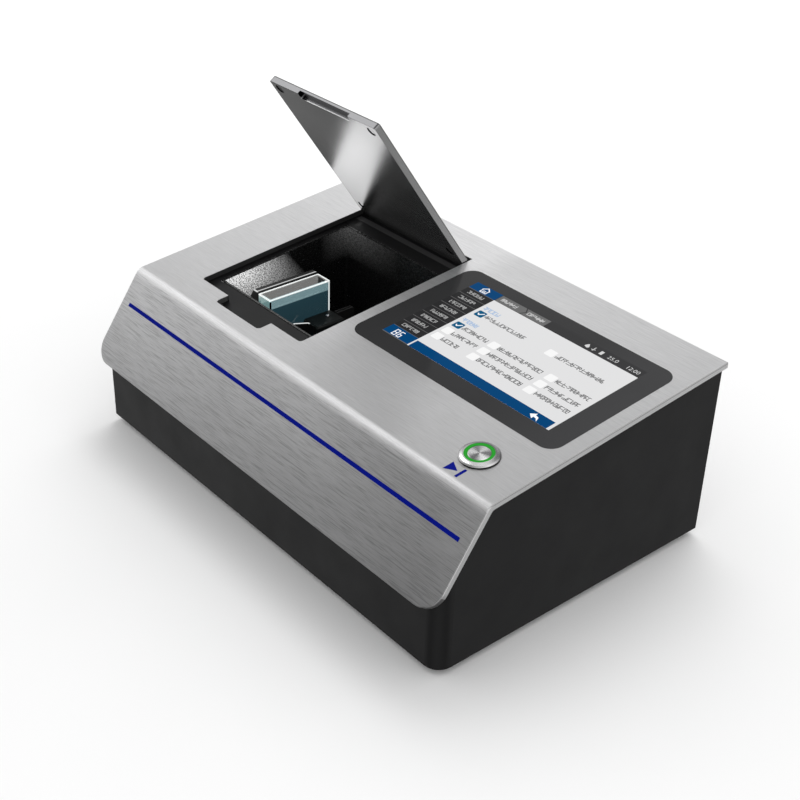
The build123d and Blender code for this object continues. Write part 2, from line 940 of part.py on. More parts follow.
# ---------------------------------------------------------------- sample cell
cell_left = cuvette_x - cuvette_width / 2
cell_right = cuvette_x + cuvette_width / 2
cell_front = cuvette_y - cuvette_length / 2
cell_rear = cuvette_y + cuvette_length / 2

with BuildPart() as cuvette:
    with BuildSketch(Plane.XY.offset(cell_seat_z)):
        with Locations((cuvette_x, cuvette_y)):
            Rectangle(cuvette_width, cuvette_length)
    extrude(amount=cuvette_height)
    chamfer(cuvette.edges().filter_by(Axis.Z), cuvette_edge_break)
    with BuildSketch(Plane.XY.offset(cell_seat_z + cuvette_floor)):
        with Locations((cuvette_x, cuvette_y)):
            Rectangle(cuvette_width - 2 * cuvette_wall, cuvette_length - 2 * cuvette_wall)
    extrude(amount=cuvette_height, mode=Mode.SUBTRACT)
save(cuvette, "cuvette")

with BuildPart() as sample_liquid:
    block(
        (cell_left + cuvette_wall, cell_right - cuvette_wall),
        (cell_front + cuvette_wall, cell_rear - cuvette_wall),
        (cell_seat_z + cuvette_floor, cell_top_z - liquid_drop),
    )
save(sample_liquid, "sample_liquid")

# ---------------------------------------------------------------- sample stand and fixed jaw
jaw_face_x = cell_left - cell_clearance
jaw_back_x = jaw_face_x - jaw_thickness
stand_right_x = -60.0
stand_stop_height = 6.0
stop_thickness = 3.0
stand_margin = 6.0

with BuildPart() as sample_stand:
    with BuildSketch(Plane.XY.offset(liner_floor_height)) as stand_foot:
        with Locations(((jaw_face_x + stand_right_x) / 2, cuvette_y)):
            Rectangle(stand_right_x - jaw_face_x, cuvette_length + 2 * stand_margin)
        fillet(stand_foot.vertices().group_by(Axis.X)[-1], 4.0)
    extrude(amount=stand_height)
    for near_y, far_y in (
        (cell_front - cell_clearance - stop_thickness, cell_front - cell_clearance),
        (cell_rear + cell_clearance, cell_rear + cell_clearance + stop_thickness),
    ):
        block(
            (jaw_face_x, cell_right),
            (near_y, far_y),
            (cell_seat_z, cell_seat_z + stand_stop_height),
        )
    # Underside relief, so the stand seats on its rim
    with BuildSketch(Plane.XY.offset(liner_floor_height)):
        with Locations(((jaw_face_x + stand_right_x) / 2, cuvette_y)):
            Rectangle(stand_right_x - jaw_face_x - 12, cuvette_length)
    extrude(amount=stand_height - 5, mode=Mode.SUBTRACT)
save(sample_stand, "sample_stand")

jaw_front_y = cuvette_y - jaw_length / 2
jaw_rear_y = cuvette_y + jaw_length / 2
jaw_top_z = cell_top_z + jaw_rise
with BuildPart() as port_plate:
    block((jaw_back_x, jaw_face_x), (jaw_front_y, jaw_rear_y), (liner_floor_height, jaw_top_z))
    chamfer(
        port_plate.faces().sort_by(Axis.Z)[-1].edges().filter_by(Axis.Y).sort_by(Axis.X)[0],
        jaw_thickness - 3.5,
        4.0,
    )
    jaw_rim = port_plate.faces().sort_by(Axis.Z)[-1].edges()
    chamfer([jaw_rim.sort_by(Axis.Y)[0], jaw_rim.sort_by(Axis.X)[-1]], jaw_edge_break)
    block(
        (well_x[0] + 0.5, jaw_back_x),
        (jaw_front_y + 4, jaw_rear_y - 4),
        (liner_floor_height, liner_floor_height + jaw_foot_height),
    )
    rods(
        Plane.YZ.offset(jaw_back_x), [(optic_y, optic_z)], port_radius, jaw_thickness, Mode.SUBTRACT
    )
    rods(
        Plane.YZ.offset(jaw_back_x),
        [(optic_y, optic_z)],
        window_radius,
        window_thickness,
        Mode.SUBTRACT,
    )
save(port_plate, "port_plate")

with BuildPart() as port_window_left:
    rods(Plane.YZ.offset(jaw_back_x), [(optic_y, optic_z)], window_radius, window_thickness)
save(port_window_left, "port_window_left")

# ---------------------------------------------------------------- sprung clamp
clamp_face_x = cell_right + cell_clearance
clamp_back_x = clamp_face_x + clamp_depth
clamp_front_y = 1.0
clamp_rear_y = clamp_front_y + clamp_length
clamp_top_z = cell_top_z - clamp_top_drop
clamp_bottom_z = cell_seat_z + 0.3
clamp_pin_z = 70.0
clamp_mid_y = (clamp_front_y + clamp_rear_y) / 2
clamp_pin_points = [
    (clamp_mid_y - clamp_pin_spacing / 2, clamp_pin_z),
    (clamp_mid_y + clamp_pin_spacing / 2, clamp_pin_z),
]
post_x = (clamp_back_x + clamp_spring_length, stand_right_x - 2)
pin_tip_x = clamp_face_x + clamp_travel + 2.5
clamp_bore_x = clamp_face_x + 2.0
arm_length = 16.0
arm_height = 7.5
arm_x = (clamp_face_x + 3.3, clamp_face_x + 6.9)
dot_radius = 1.5

with BuildPart() as clamp_jaw:
    block(
        (clamp_face_x, clamp_back_x),
        (clamp_front_y, clamp_rear_y),
        (clamp_bottom_z, clamp_top_z),
    )
    chamfer(clamp_jaw.faces().sort_by(Axis.Z)[-1].edges().sort_by(Axis.X)[1:], 1.2)
    rods(
        Plane.YZ.offset(clamp_bore_x),
        clamp_pin_points,
        clamp_pin_radius + running_clearance,
        clamp_depth,
        Mode.SUBTRACT,
    )
    rods(
        Plane.XY.offset(clamp_top_z - 4),
        [(clamp_face_x + 6.0, clamp_rear_y - 8.0)],
        1.0,
        4,
        Mode.SUBTRACT,
    )
save(clamp_jaw, "clamp_jaw")

with BuildPart() as clamp_screw:
    dot_plane = Plane.XY.offset(clamp_top_z)
    rods(dot_plane, [(clamp_face_x + 6.0, clamp_rear_y - 8.0)], 1.0, -4)
    rods(dot_plane, [(clamp_face_x + 6.0, clamp_rear_y - 8.0)], dot_radius, 1.0)
    chamfer(clamp_screw.faces().sort_by(Axis.Z)[-1].edges(), 0.5)
save(clamp_screw, "clamp_screw")

with BuildPart() as clamp_arm:
    block(arm_x, (clamp_rear_y, clamp_rear_y + arm_length), (clamp_top_z - arm_height, clamp_top_z))
    groove_x = sum(arm_x) / 2
    block(
        (groove_x - 0.6, groove_x + 0.6),
        (clamp_rear_y, clamp_rear_y + arm_length - 2),
        (clamp_top_z - 0.8, clamp_top_z),
        Mode.SUBTRACT,
    )
    fillet(clamp_arm.edges().filter_by(Axis.X).group_by(Axis.Y)[-1], 1.5)
save(clamp_arm, "clamp_arm")

leaf_thickness = 0.8
leaf_height = 10.0
leaf_bend = 1.2
leaf_face_y = clamp_front_y - leaf_thickness
leaf_points = [
    (clamp_face_x + 13.0, leaf_face_y),
    (clamp_face_x + 6.5, leaf_face_y),
    (clamp_face_x + 0.9, leaf_face_y - 9.5),
    (clamp_face_x + 12.5, leaf_face_y - 11.5),
]
with BuildPart() as clamp_leaf:
    with BuildSketch(Plane.XY.offset(clamp_top_z - leaf_height)):
        with BuildLine():
            FilletPolyline(*leaf_points, radius=leaf_bend)
            offset(amount=leaf_thickness, side=Side.RIGHT)
        make_face()
    extrude(amount=leaf_height)
save(clamp_leaf, "clamp_leaf")

with BuildPart() as clamp_post:
    block(
        post_x,
        (clamp_front_y + 1, clamp_rear_y - 1),
        (cell_seat_z, clamp_top_z - 4),
    )
    rods(
        Plane.YZ.offset(post_x[0]), clamp_pin_points, clamp_pin_radius, post_x[1] - post_x[0],
        Mode.SUBTRACT,
    )
    chamfer(clamp_post.faces().sort_by(Axis.Z)[-1].edges(), 0.8)
save(clamp_post, "clamp_post")

with BuildPart() as clamp_pins:
    rods(Plane.YZ.offset(pin_tip_x), clamp_pin_points, clamp_pin_radius, post_x[1] - pin_tip_x)
save(clamp_pins, "clamp_pins")

clamp_spring_wire = 0.4
clamp_spring_radius = clamp_pin_radius + clamp_spring_wire + 0.3
clamp_spring_turns = 4
with BuildPart() as clamp_springs:
    for pin_y, pin_z in clamp_pin_points:
        with BuildLine() as clamp_coil:
            Helix(
                pitch=(clamp_spring_length - 2 * clamp_spring_wire - 0.4) / clamp_spring_turns,
                height=clamp_spring_length - 2 * clamp_spring_wire - 0.4,
                radius=clamp_spring_radius,
                center=(clamp_back_x + clamp_spring_wire + 0.2, pin_y, pin_z),
                direction=(1, 0, 0),
            )
        coil_edge = clamp_coil.edges()[0]
        with BuildSketch(Plane(origin=coil_edge @ 0, z_dir=coil_edge % 0)):
            RegularPolygon(clamp_spring_wire, 6)
        sweep(path=coil_edge, is_frenet=True)
save(clamp_springs, "clamp_springs")

# ---------------------------------------------------------------- lamp side
tube_end_x = jaw_back_x - tube_length
flange_face_x = liner_x[0]
lens_seat_x = tube_end_x + 9.0
with BuildPart() as lens_tube:
    turned(
        optic_plane,
        [
            (jaw_back_x, tube_bore_radius),
            (jaw_back_x, tube_radius),
            (flange_face_x, tube_radius),
            (flange_face_x, port_flange_radius),
            (flange_face_x - port_flange_thickness, port_flange_radius),
            (flange_face_x - port_flange_thickness, tube_radius),
            (tube_end_x, tube_radius),
            (tube_end_x, lens_radius),
            (lens_seat_x, lens_radius),
            (lens_seat_x, tube_bore_radius),
        ],
    )
save(lens_tube, "lens_tube")

with BuildPart() as collimator_lens:
    lens_curve = (lens_radius**2 + lens_bulge**2) / (2 * lens_bulge)
    with BuildSketch(optic_plane) as lens_section:
        with BuildLine():
            Polyline(
                (lens_seat_x - lens_edge - lens_bulge, 0),
                (lens_seat_x, 0),
                (lens_seat_x, lens_radius),
                (lens_seat_x - lens_edge, lens_radius),
            )
            RadiusArc(
                (lens_seat_x - lens_edge, lens_radius),
                (lens_seat_x - lens_edge - lens_bulge, 0),
                -lens_curve,
            )
        make_face()
    revolve(axis=Axis(optic_plane.origin, optic_plane.x_dir))
save(collimator_lens, "collimator_lens")

lamp_back_x = tube_end_x - lamp_length
lamp_board_radius = 11.8
lamp_board_thickness = 1.6
lamp_cavity = 7.6
fin_gap = 2.6
fin_pitch = 5.6
fin_depth = 11.0
with BuildPart() as lamp_housing:
    block(
        (lamp_back_x, tube_end_x),
        (optic_y - lamp_size / 2, optic_y + lamp_size / 2),
        (optic_z - lamp_size / 2, optic_z + lamp_size / 2),
    )
    fillet(lamp_housing.edges().filter_by(Axis.X), 3.0)
    rods(
        Plane.YZ.offset(tube_end_x),
        [(optic_y, optic_z)],
        lamp_board_radius,
        -lamp_cavity,
        Mode.SUBTRACT,
    )
    for fin in range(-2, 3):
        block(
            (lamp_back_x, lamp_back_x + fin_depth),
            (optic_y + fin * fin_pitch - fin_gap / 2, optic_y + fin * fin_pitch + fin_gap / 2),
            (optic_z - lamp_size / 2, optic_z + lamp_size / 2),
            Mode.SUBTRACT,
        )
save(lamp_housing, "lamp_housing")

lamp_board_x = tube_end_x - lamp_cavity
led_x = lamp_board_x + lamp_board_thickness
led_radius = 2.6
led_base_radius = 4.0
led_base_thickness = 0.8
with BuildPart() as lamp_board:
    rods(
        Plane.YZ.offset(lamp_board_x),
        [(optic_y, optic_z)],
        lamp_board_radius,
        lamp_board_thickness,
    )
    rods(Plane.YZ.offset(led_x), [(optic_y, optic_z)], led_base_radius, led_base_thickness)
    with Locations(Plane((led_x + led_base_thickness, optic_y, optic_z), z_dir=(1, 0, 0))):
        Sphere(led_radius, arc_size1=0)
save(lamp_board, "lamp_board")

# ---------------------------------------------------------------- integrating sphere side
ring_neck_length = 5.0
ring_start_x = well_x[1] - window_thickness
ring_end_x = well_x[1] + ring_neck_length
with BuildPart() as sphere_port_ring:
    turned(
        optic_plane,
        [
            (ring_start_x, window_radius),
            (ring_start_x, port_flange_radius),
            (well_x[1], port_flange_radius),
            (well_x[1], tube_radius),
            (ring_end_x, tube_radius),
            (ring_end_x, port_radius),
            (ring_start_x + window_thickness - 0.5, port_radius),
            (ring_start_x + window_thickness - 0.5, window_radius),
        ],
    )
save(sphere_port_ring, "sphere_port_ring")

with BuildPart() as port_window_right:
    rods(
        Plane.YZ.offset(ring_start_x),
        [(optic_y, optic_z)],
        window_radius,
        window_thickness - 0.5,
    )
save(port_window_right, "port_window_right")

sphere_x = ring_end_x + sphere_radius + sphere_standoff
sphere_flange_radius = sphere_radius + 6.5
sphere_flange = 3.0
neck_radius = 16.0
exit_neck_radius = 8.0
exit_bore_radius = 4.0
spectrometer_left = sphere_x + sphere_flange_radius + 1.5
spectrometer_x = (spectrometer_left, spectrometer_left + spectrometer_width)
bench_top_z = bench_height + bench_thickness
sphere_screw_radius = 1.5
sphere_screw_ring = sphere_radius + 3.3
sphere_screw_centres = [
    (
        sphere_x + sphere_screw_ring * cos(radians(angle)),
        optic_y + sphere_screw_ring * sin(radians(angle)),
    )
    for angle in (60, 120, 240, 300)
]


def sphere_half(keep):
    """One half of the integrating sphere, split on the level of the optical axis."""
    with BuildPart() as half:
        with Locations((sphere_x, optic_y, optic_z)):
            Sphere(sphere_radius)
            Cylinder(sphere_flange_radius, 2 * sphere_flange)
        rods(
            Plane.YZ.offset(liner_x[1]),
            [(optic_y, optic_z)],
            neck_radius,
            sphere_x - liner_x[1],
        )
        rods(
            Plane.YZ.offset(sphere_x),
            [(optic_y, optic_z)],
            exit_neck_radius,
            spectrometer_x[0] + spectrometer_wall - sphere_x,
        )
        rods(
            Plane.XY.offset(bench_top_z),
            [(sphere_x, optic_y)],
            12.0,
            optic_z - bench_top_z,
        )
        with Locations((sphere_x, optic_y, optic_z)):
            Sphere(sphere_radius - sphere_wall, mode=Mode.SUBTRACT)
        rods(
            Plane.YZ.offset(liner_x[1]),
            [(optic_y, optic_z)],
            tube_radius,
            ring_end_x - liner_x[1],
            Mode.SUBTRACT,
        )
        rods(
            Plane.YZ.offset(ring_end_x),
            [(optic_y, optic_z)],
            port_radius,
            sphere_x - ring_end_x,
            Mode.SUBTRACT,
        )
        rods(
            Plane.YZ.offset(sphere_x),
            [(optic_y, optic_z)],
            exit_bore_radius,
            spectrometer_x[0] + spectrometer_wall - sphere_x,
            Mode.SUBTRACT,
        )
        rods(
            Plane.XY.offset(optic_z - sphere_flange),
            sphere_screw_centres,
            sphere_screw_radius,
            2 * sphere_flange,
            Mode.SUBTRACT,
        )
        split(bisect_by=Plane.XY.offset(optic_z), keep=keep)
        block(
            (sphere_x - 2 * sphere_radius, liner_x[1]),
            (optic_y - 2 * sphere_radius, optic_y + 2 * sphere_radius),
            (optic_z - sphere_radius, optic_z + sphere_radius),
            Mode.SUBTRACT,
        )
    return half


save(sphere_half(Keep.TOP), "sphere_upper")
save(sphere_half(Keep.BOTTOM), "sphere_lower")

with BuildPart() as sphere_screws:
    screw_set(
        Plane(origin=(0, 0, optic_z + sphere_flange), x_dir=(1, 0, 0), z_dir=(0, 0, -1)),
        [(x, -y) for x, y in sphere_screw_centres],
        sphere_screw_radius,
        2 * sphere_flange,
        2.8,
        2.0,
    )
save(sphere_screws, "sphere_screws")

with BuildPart() as optics_bench:
    block(bench_x, bench_y, (bench_height, bench_top_z))
    fillet(optics_bench.edges().filter_by(Axis.Z), 5.0)
save(optics_bench, "optics_bench")

with BuildPart() as bench_pillars:
    rods(
        Plane.XY.offset(bottom_top_z),
        bench_pillar_centres,
        pillar_radius,
        bench_height - bottom_top_z,
    )
save(bench_pillars, "bench_pillars")

spectrometer_y = (optic_y - spectrometer_depth / 2, optic_y + spectrometer_depth / 2)
spectrometer_top_z = bench_top_z + spectrometer_height
with BuildPart() as spectrometer_body:
    block(spectrometer_x, spectrometer_y, (bench_top_z, spectrometer_top_z))
    fillet(spectrometer_body.edges().filter_by(Axis.Z), 3.0)
    block(
        (spectrometer_x[0] + spectrometer_wall, spectrometer_x[1] - spectrometer_wall),
        (spectrometer_y[0] + spectrometer_wall, spectrometer_y[1] - spectrometer_wall),
        (bench_top_z + spectrometer_wall, spectrometer_top_z),
        Mode.SUBTRACT,
    )
    rods(
        Plane.YZ.offset(spectrometer_x[0]),
        [(optic_y, optic_z)],
        exit_neck_radius,
        spectrometer_wall,
        Mode.SUBTRACT,
    )
save(spectrometer_body, "spectrometer_body")

with BuildPart() as spectrometer_cover:
    block(spectrometer_x, spectrometer_y, (spectrometer_top_z, spectrometer_top_z + 2.5))
    fillet(spectrometer_cover.edges().filter_by(Axis.Z), 3.0)
save(spectrometer_cover, "spectrometer_cover")

# ---------------------------------------------------------------- main board and rear panel
board_rear_y = wall_inner_rear_y - tray_depth - tray_sheet - 1.0
board_front_y = board_rear_y - board_depth
board_x = (tray_x - 35.0, tray_x - 35.0 + board_width)
board_top_z = board_height + board_thickness
board_post_centres = [
    (x, y)
    for x in (board_x[0] + 5, board_x[1] - 5)
    for y in (board_front_y + 5, board_rear_y - 5)
]
board_post_radius = 3.0
board_hole_radius = 1.6
post_tip_height = 1.8

board_chips = [
    (18.0, 14.0, 22.0, 22.0, 2.2),
    (50.0, 14.0, 14.0, 14.0, 1.6),
    (78.0, 20.0, 10.0, 24.0, 3.0),
    (108.0, 18.0, 18.0, 18.0, 6.0),
]

with BuildPart() as main_board:
    block(board_x, (board_front_y, board_rear_y), (board_height, board_top_z))
    for chip_x, chip_y, chip_width, chip_depth, chip_height in board_chips:
        chip_left = board_x[0] + chip_x
        chip_front = board_front_y + chip_y
        block(
            (chip_left, chip_left + chip_width),
            (chip_front, chip_front + chip_depth),
            (board_top_z, board_top_z + chip_height),
        )
    rods(
        Plane.XY.offset(board_height),
        board_post_centres,
        board_hole_radius,
        board_thickness,
        Mode.SUBTRACT,
    )
save(main_board, "main_board")

with BuildPart() as board_posts:
    rods(
        Plane.XY.offset(bottom_top_z),
        board_post_centres,
        board_post_radius,
        board_height - bottom_top_z,
    )
    rods(
        Plane.XY.offset(board_height),
        board_post_centres,
        board_hole_radius,
        board_thickness + post_tip_height,
    )
save(board_posts, "board_posts")

tray_face_y = wall_inner_rear_y - tray_depth
tray_back_y = tray_face_y - tray_sheet
rocker_hole = (rocker_width - 1.8, rocker_height - 1.8)
tray_screw_tip = 2.0
usb_width = 12.0
usb_height = 11.0
usb_z = board_top_z + usb_height / 2
jack_width = 9.0
jack_height = 11.0
jack_z = board_top_z + jack_height / 2
socket_proud = 1.0

with BuildPart() as connector_tray:
    block(
        (tray_hole_x[0] - tray_flange, tray_hole_x[1] + tray_flange),
        (wall_inner_rear_y - tray_sheet, wall_inner_rear_y),
        (tray_hole_z[0] - tray_flange, tray_hole_z[1] + tray_flange),
    )
    block(
        (tray_hole_x[0] - tray_sheet, tray_hole_x[1] + tray_sheet),
        (tray_back_y, wall_inner_rear_y),
        (tray_hole_z[0] - tray_sheet, tray_hole_z[1] + tray_sheet),
    )
    block(tray_hole_x, (tray_face_y, wall_inner_rear_y), tray_hole_z, Mode.SUBTRACT)
    tray_plane = Plane(origin=(0, tray_face_y, 0), x_dir=(1, 0, 0), z_dir=(0, -1, 0))
    with BuildSketch(tray_plane):
        with Locations((rocker_x, tray_z)):
            Rectangle(*rocker_hole)
        with Locations((usb_x, usb_z)):
            Rectangle(usb_width, usb_height)
        with Locations((jack_x, jack_z)):
            Rectangle(jack_width, jack_height)
    extrude(amount=tray_sheet, mode=Mode.SUBTRACT)
    rods(
        Plane(origin=(0, wall_inner_rear_y, 0), x_dir=(1, 0, 0), z_dir=(0, -1, 0)),
        tray_screw_centres,
        tray_screw_radius,
        tray_sheet,
        Mode.SUBTRACT,
    )
save(connector_tray, "connector_tray")

with BuildPart() as tray_screws:
    countersinks(rear_plane, tray_screw_centres, tray_screw_radius, tray_screw_head)
    rods(
        rear_plane,
        tray_screw_centres,
        tray_screw_radius,
        base_wall + tray_sheet + tray_screw_tip,
    )
save(tray_screws, "tray_screws")

usb_length = 17.0
with BuildPart() as usb_socket:
    usb_face_y = tray_face_y + socket_proud
    block(
        (usb_x - usb_width / 2, usb_x + usb_width / 2),
        (usb_face_y - usb_length, usb_face_y),
        (usb_z - usb_height / 2, usb_z + usb_height / 2),
    )
    block(
        (usb_x - 4.2, usb_x + 4.2),
        (usb_face_y - 9, usb_face_y),
        (usb_z - 3.9, usb_z + 3.9),
        Mode.SUBTRACT,
    )
    block(
        (usb_x - 2.8, usb_x + 2.8),
        (usb_face_y - 10, usb_face_y - 1),
        (usb_z - 1.6, usb_z + 1.6),
    )
save(usb_socket, "usb_socket")

jack_length = 14.0
jack_bore_radius = 3.15
jack_pin_radius = 1.0
with BuildPart() as dc_jack:
    jack_face_y = tray_face_y + socket_proud
    block(
        (jack_x - jack_width / 2, jack_x + jack_width / 2),
        (jack_face_y - jack_length, jack_face_y),
        (jack_z - jack_height / 2, jack_z + jack_height / 2),
    )
    jack_plane = Plane(origin=(0, jack_face_y, 0), x_dir=(1, 0, 0), z_dir=(0, -1, 0))
    rods(jack_plane, [(jack_x, jack_z)], jack_bore_radius, 9.5, Mode.SUBTRACT)
    rods(jack_plane.offset(1.0), [(jack_x, jack_z)], jack_pin_radius, 9.0)
save(dc_jack, "dc_jack")

# ---------------------------------------------------------------- power rocker
rocker_flange = 1.3
rocker_body_depth = 18.0
key_half_width = 4.75
key_radius = 8.5
key_gap = 0.2
key_centre_height = 2.0
key_end_height = 3.3
key_stub_radius = 1.2
key_stub_length = 1.2
key_pivot_y = tray_face_y - 1.1
cavity_half_height = key_radius + key_gap
cavity_half_width = key_half_width + key_gap

with BuildPart() as rocker_housing:
    block(
        (rocker_x - rocker_width / 2, rocker_x + rocker_width / 2),
        (tray_face_y, tray_face_y + rocker_flange),
        (tray_z - rocker_height / 2, tray_z + rocker_height / 2),
    )
    block(
        (rocker_x - rocker_hole[0] / 2, rocker_x + rocker_hole[0] / 2),
        (tray_face_y - rocker_body_depth, tray_face_y),
        (tray_z - rocker_hole[1] / 2, tray_z + rocker_hole[1] / 2),
    )
    block(
        (rocker_x - cavity_half_width, rocker_x + cavity_half_width),
        (key_pivot_y - cavity_half_height, tray_face_y + rocker_flange),
        (tray_z - cavity_half_height, tray_z + cavity_half_height),
        Mode.SUBTRACT,
    )
    stub_reach = cavity_half_width + key_stub_length
    rods(
        Plane.YZ.offset(rocker_x - stub_reach),
        [(key_pivot_y, tray_z)],
        key_stub_radius + running_clearance,
        2 * stub_reach,
        Mode.SUBTRACT,
    )
save(rocker_housing, "rocker_housing")

# The key stands in its off position: upper end out, lower end in.
key_plane = Plane(
    origin=(rocker_x, key_pivot_y, tray_z),
    x_dir=(0, sin(radians(rocker_tilt)), cos(radians(rocker_tilt))),
    z_dir=(-1, 0, 0),
)
key_end = sqrt(key_radius**2 - key_end_height**2)
with BuildPart() as rocker_key:
    with BuildSketch(key_plane):
        Circle(key_radius)
        with BuildLine():
            Polyline(
                (-key_end, key_end_height),
                (0, key_centre_height),
                (key_end, key_end_height),
                (key_radius + 1, -key_radius - 1),
                (-key_radius - 1, -key_radius - 1),
                close=True,
            )
        make_face(mode=Mode.INTERSECT)
    extrude(amount=key_half_width, both=True)
    rods(
        Plane.YZ.offset(rocker_x - key_half_width - key_stub_length),
        [(key_pivot_y, tray_z)],
        key_stub_radius,
        2 * (key_half_width + key_stub_length),
    )
save(rocker_key, "rocker_key")
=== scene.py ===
import math
import random

import bmesh
import bpy
from mathutils import Matrix, Vector


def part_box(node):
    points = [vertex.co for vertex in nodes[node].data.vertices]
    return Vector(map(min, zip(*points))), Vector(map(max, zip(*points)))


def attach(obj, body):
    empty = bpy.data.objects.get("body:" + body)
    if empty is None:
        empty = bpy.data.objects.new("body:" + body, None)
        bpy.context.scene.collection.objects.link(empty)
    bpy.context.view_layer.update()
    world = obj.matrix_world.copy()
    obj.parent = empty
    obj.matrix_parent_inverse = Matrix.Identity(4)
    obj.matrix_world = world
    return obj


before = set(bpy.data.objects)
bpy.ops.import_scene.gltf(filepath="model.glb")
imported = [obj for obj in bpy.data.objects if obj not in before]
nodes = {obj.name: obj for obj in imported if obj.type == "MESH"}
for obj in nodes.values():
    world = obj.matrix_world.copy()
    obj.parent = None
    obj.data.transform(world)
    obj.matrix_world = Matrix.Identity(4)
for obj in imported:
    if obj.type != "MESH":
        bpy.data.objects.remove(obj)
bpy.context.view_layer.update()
MM = 0.001


def corners(node):
    """A CAD node's lowest and highest corners at rest, in mm."""
    low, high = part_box(node)
    return low / MM, high / MM


# ---------------------------------------------------------------- planes of the cover, in mm
COVER_DEPTH = 241.2
REAR_HEIGHT = 135.0
BEND_HEIGHT = 114.2
BEND_SETBACK = 40.5
FRONT_EDGE_HEIGHT = 56.2
EDGE_BREAK = 0.6
TOP_SLOPE = math.atan2(REAR_HEIGHT - BEND_HEIGHT, COVER_DEPTH - BEND_SETBACK)
FRONT_SLOPE = math.atan2(BEND_HEIGHT - FRONT_EDGE_HEIGHT, BEND_SETBACK)
FRONT_Y = -COVER_DEPTH / 2 - EDGE_BREAK * math.cos(FRONT_SLOPE)
BEND_Y = FRONT_Y + BEND_SETBACK
TOP_ALONG = Vector((0, math.cos(TOP_SLOPE), math.sin(TOP_SLOPE)))
TOP_NORMAL = Vector((0, -math.sin(TOP_SLOPE), math.cos(TOP_SLOPE)))


def sloped(origin, slope):
    """A function from (x, along, above) on a sloping face, in mm, to a point in metres."""
    along = Vector((0, math.cos(slope), math.sin(slope)))
    above = Vector((0, -math.sin(slope), math.cos(slope)))

    def place(x, a, h=0.0):
        return (Vector(origin) + Vector((x, 0, 0)) + along * a + above * h) * MM

    return place


on_top = sloped((0, BEND_Y, BEND_HEIGHT), TOP_SLOPE)
on_front = sloped((0, FRONT_Y, FRONT_EDGE_HEIGHT), FRONT_SLOPE)

# The open lid: its pin, its own directions and its length beyond the pin
LID_X = -80.55
LID_PIN = Vector((0.0, 90.548, 129.910)) * MM
LID_TILT = math.radians(60.9) - TOP_SLOPE
LID_ALONG = Vector((0, -math.cos(LID_TILT), math.sin(LID_TILT)))
LID_OUTWARD = Vector((0, math.sin(LID_TILT), math.cos(LID_TILT)))
LID_LENGTH = 146.7


# ---------------------------------------------------------------- camera
def place_camera(at, target, roll, lens):
    """A camera at a point in metres that looks at target, with its roll in degrees and its lens in mm."""
    data = bpy.data.cameras.new("camera")
    data.sensor_width = 36.0
    data.lens = lens
    obj = bpy.data.objects.new("camera", data)
    bpy.context.scene.collection.objects.link(obj)
    forward = (target - at).normalized()
    level = forward.cross(Vector((0, 0, 1))).normalized()
    upright = level.cross(forward)
    turn = math.radians(roll)
    right = level * math.cos(turn) + upright * math.sin(turn)
    up = upright * math.cos(turn) - level * math.sin(turn)
    obj.matrix_world = Matrix.Translation(at) @ Matrix((right, up, -forward)).transposed().to_4x4()
    bpy.context.scene.camera = obj


place_camera(Vector((0.62638, -0.53480, 0.56951)), Vector((0.01284, 0.0, 0.06918)), 1.88, 63.895)

# ---------------------------------------------------------------- material nodes
BLACK = (0.0, 0.0, 0.0)
WHITE = (1.0, 1.0, 1.0)


def shade(colour, factor):
    return tuple(channel * factor for channel in colour)


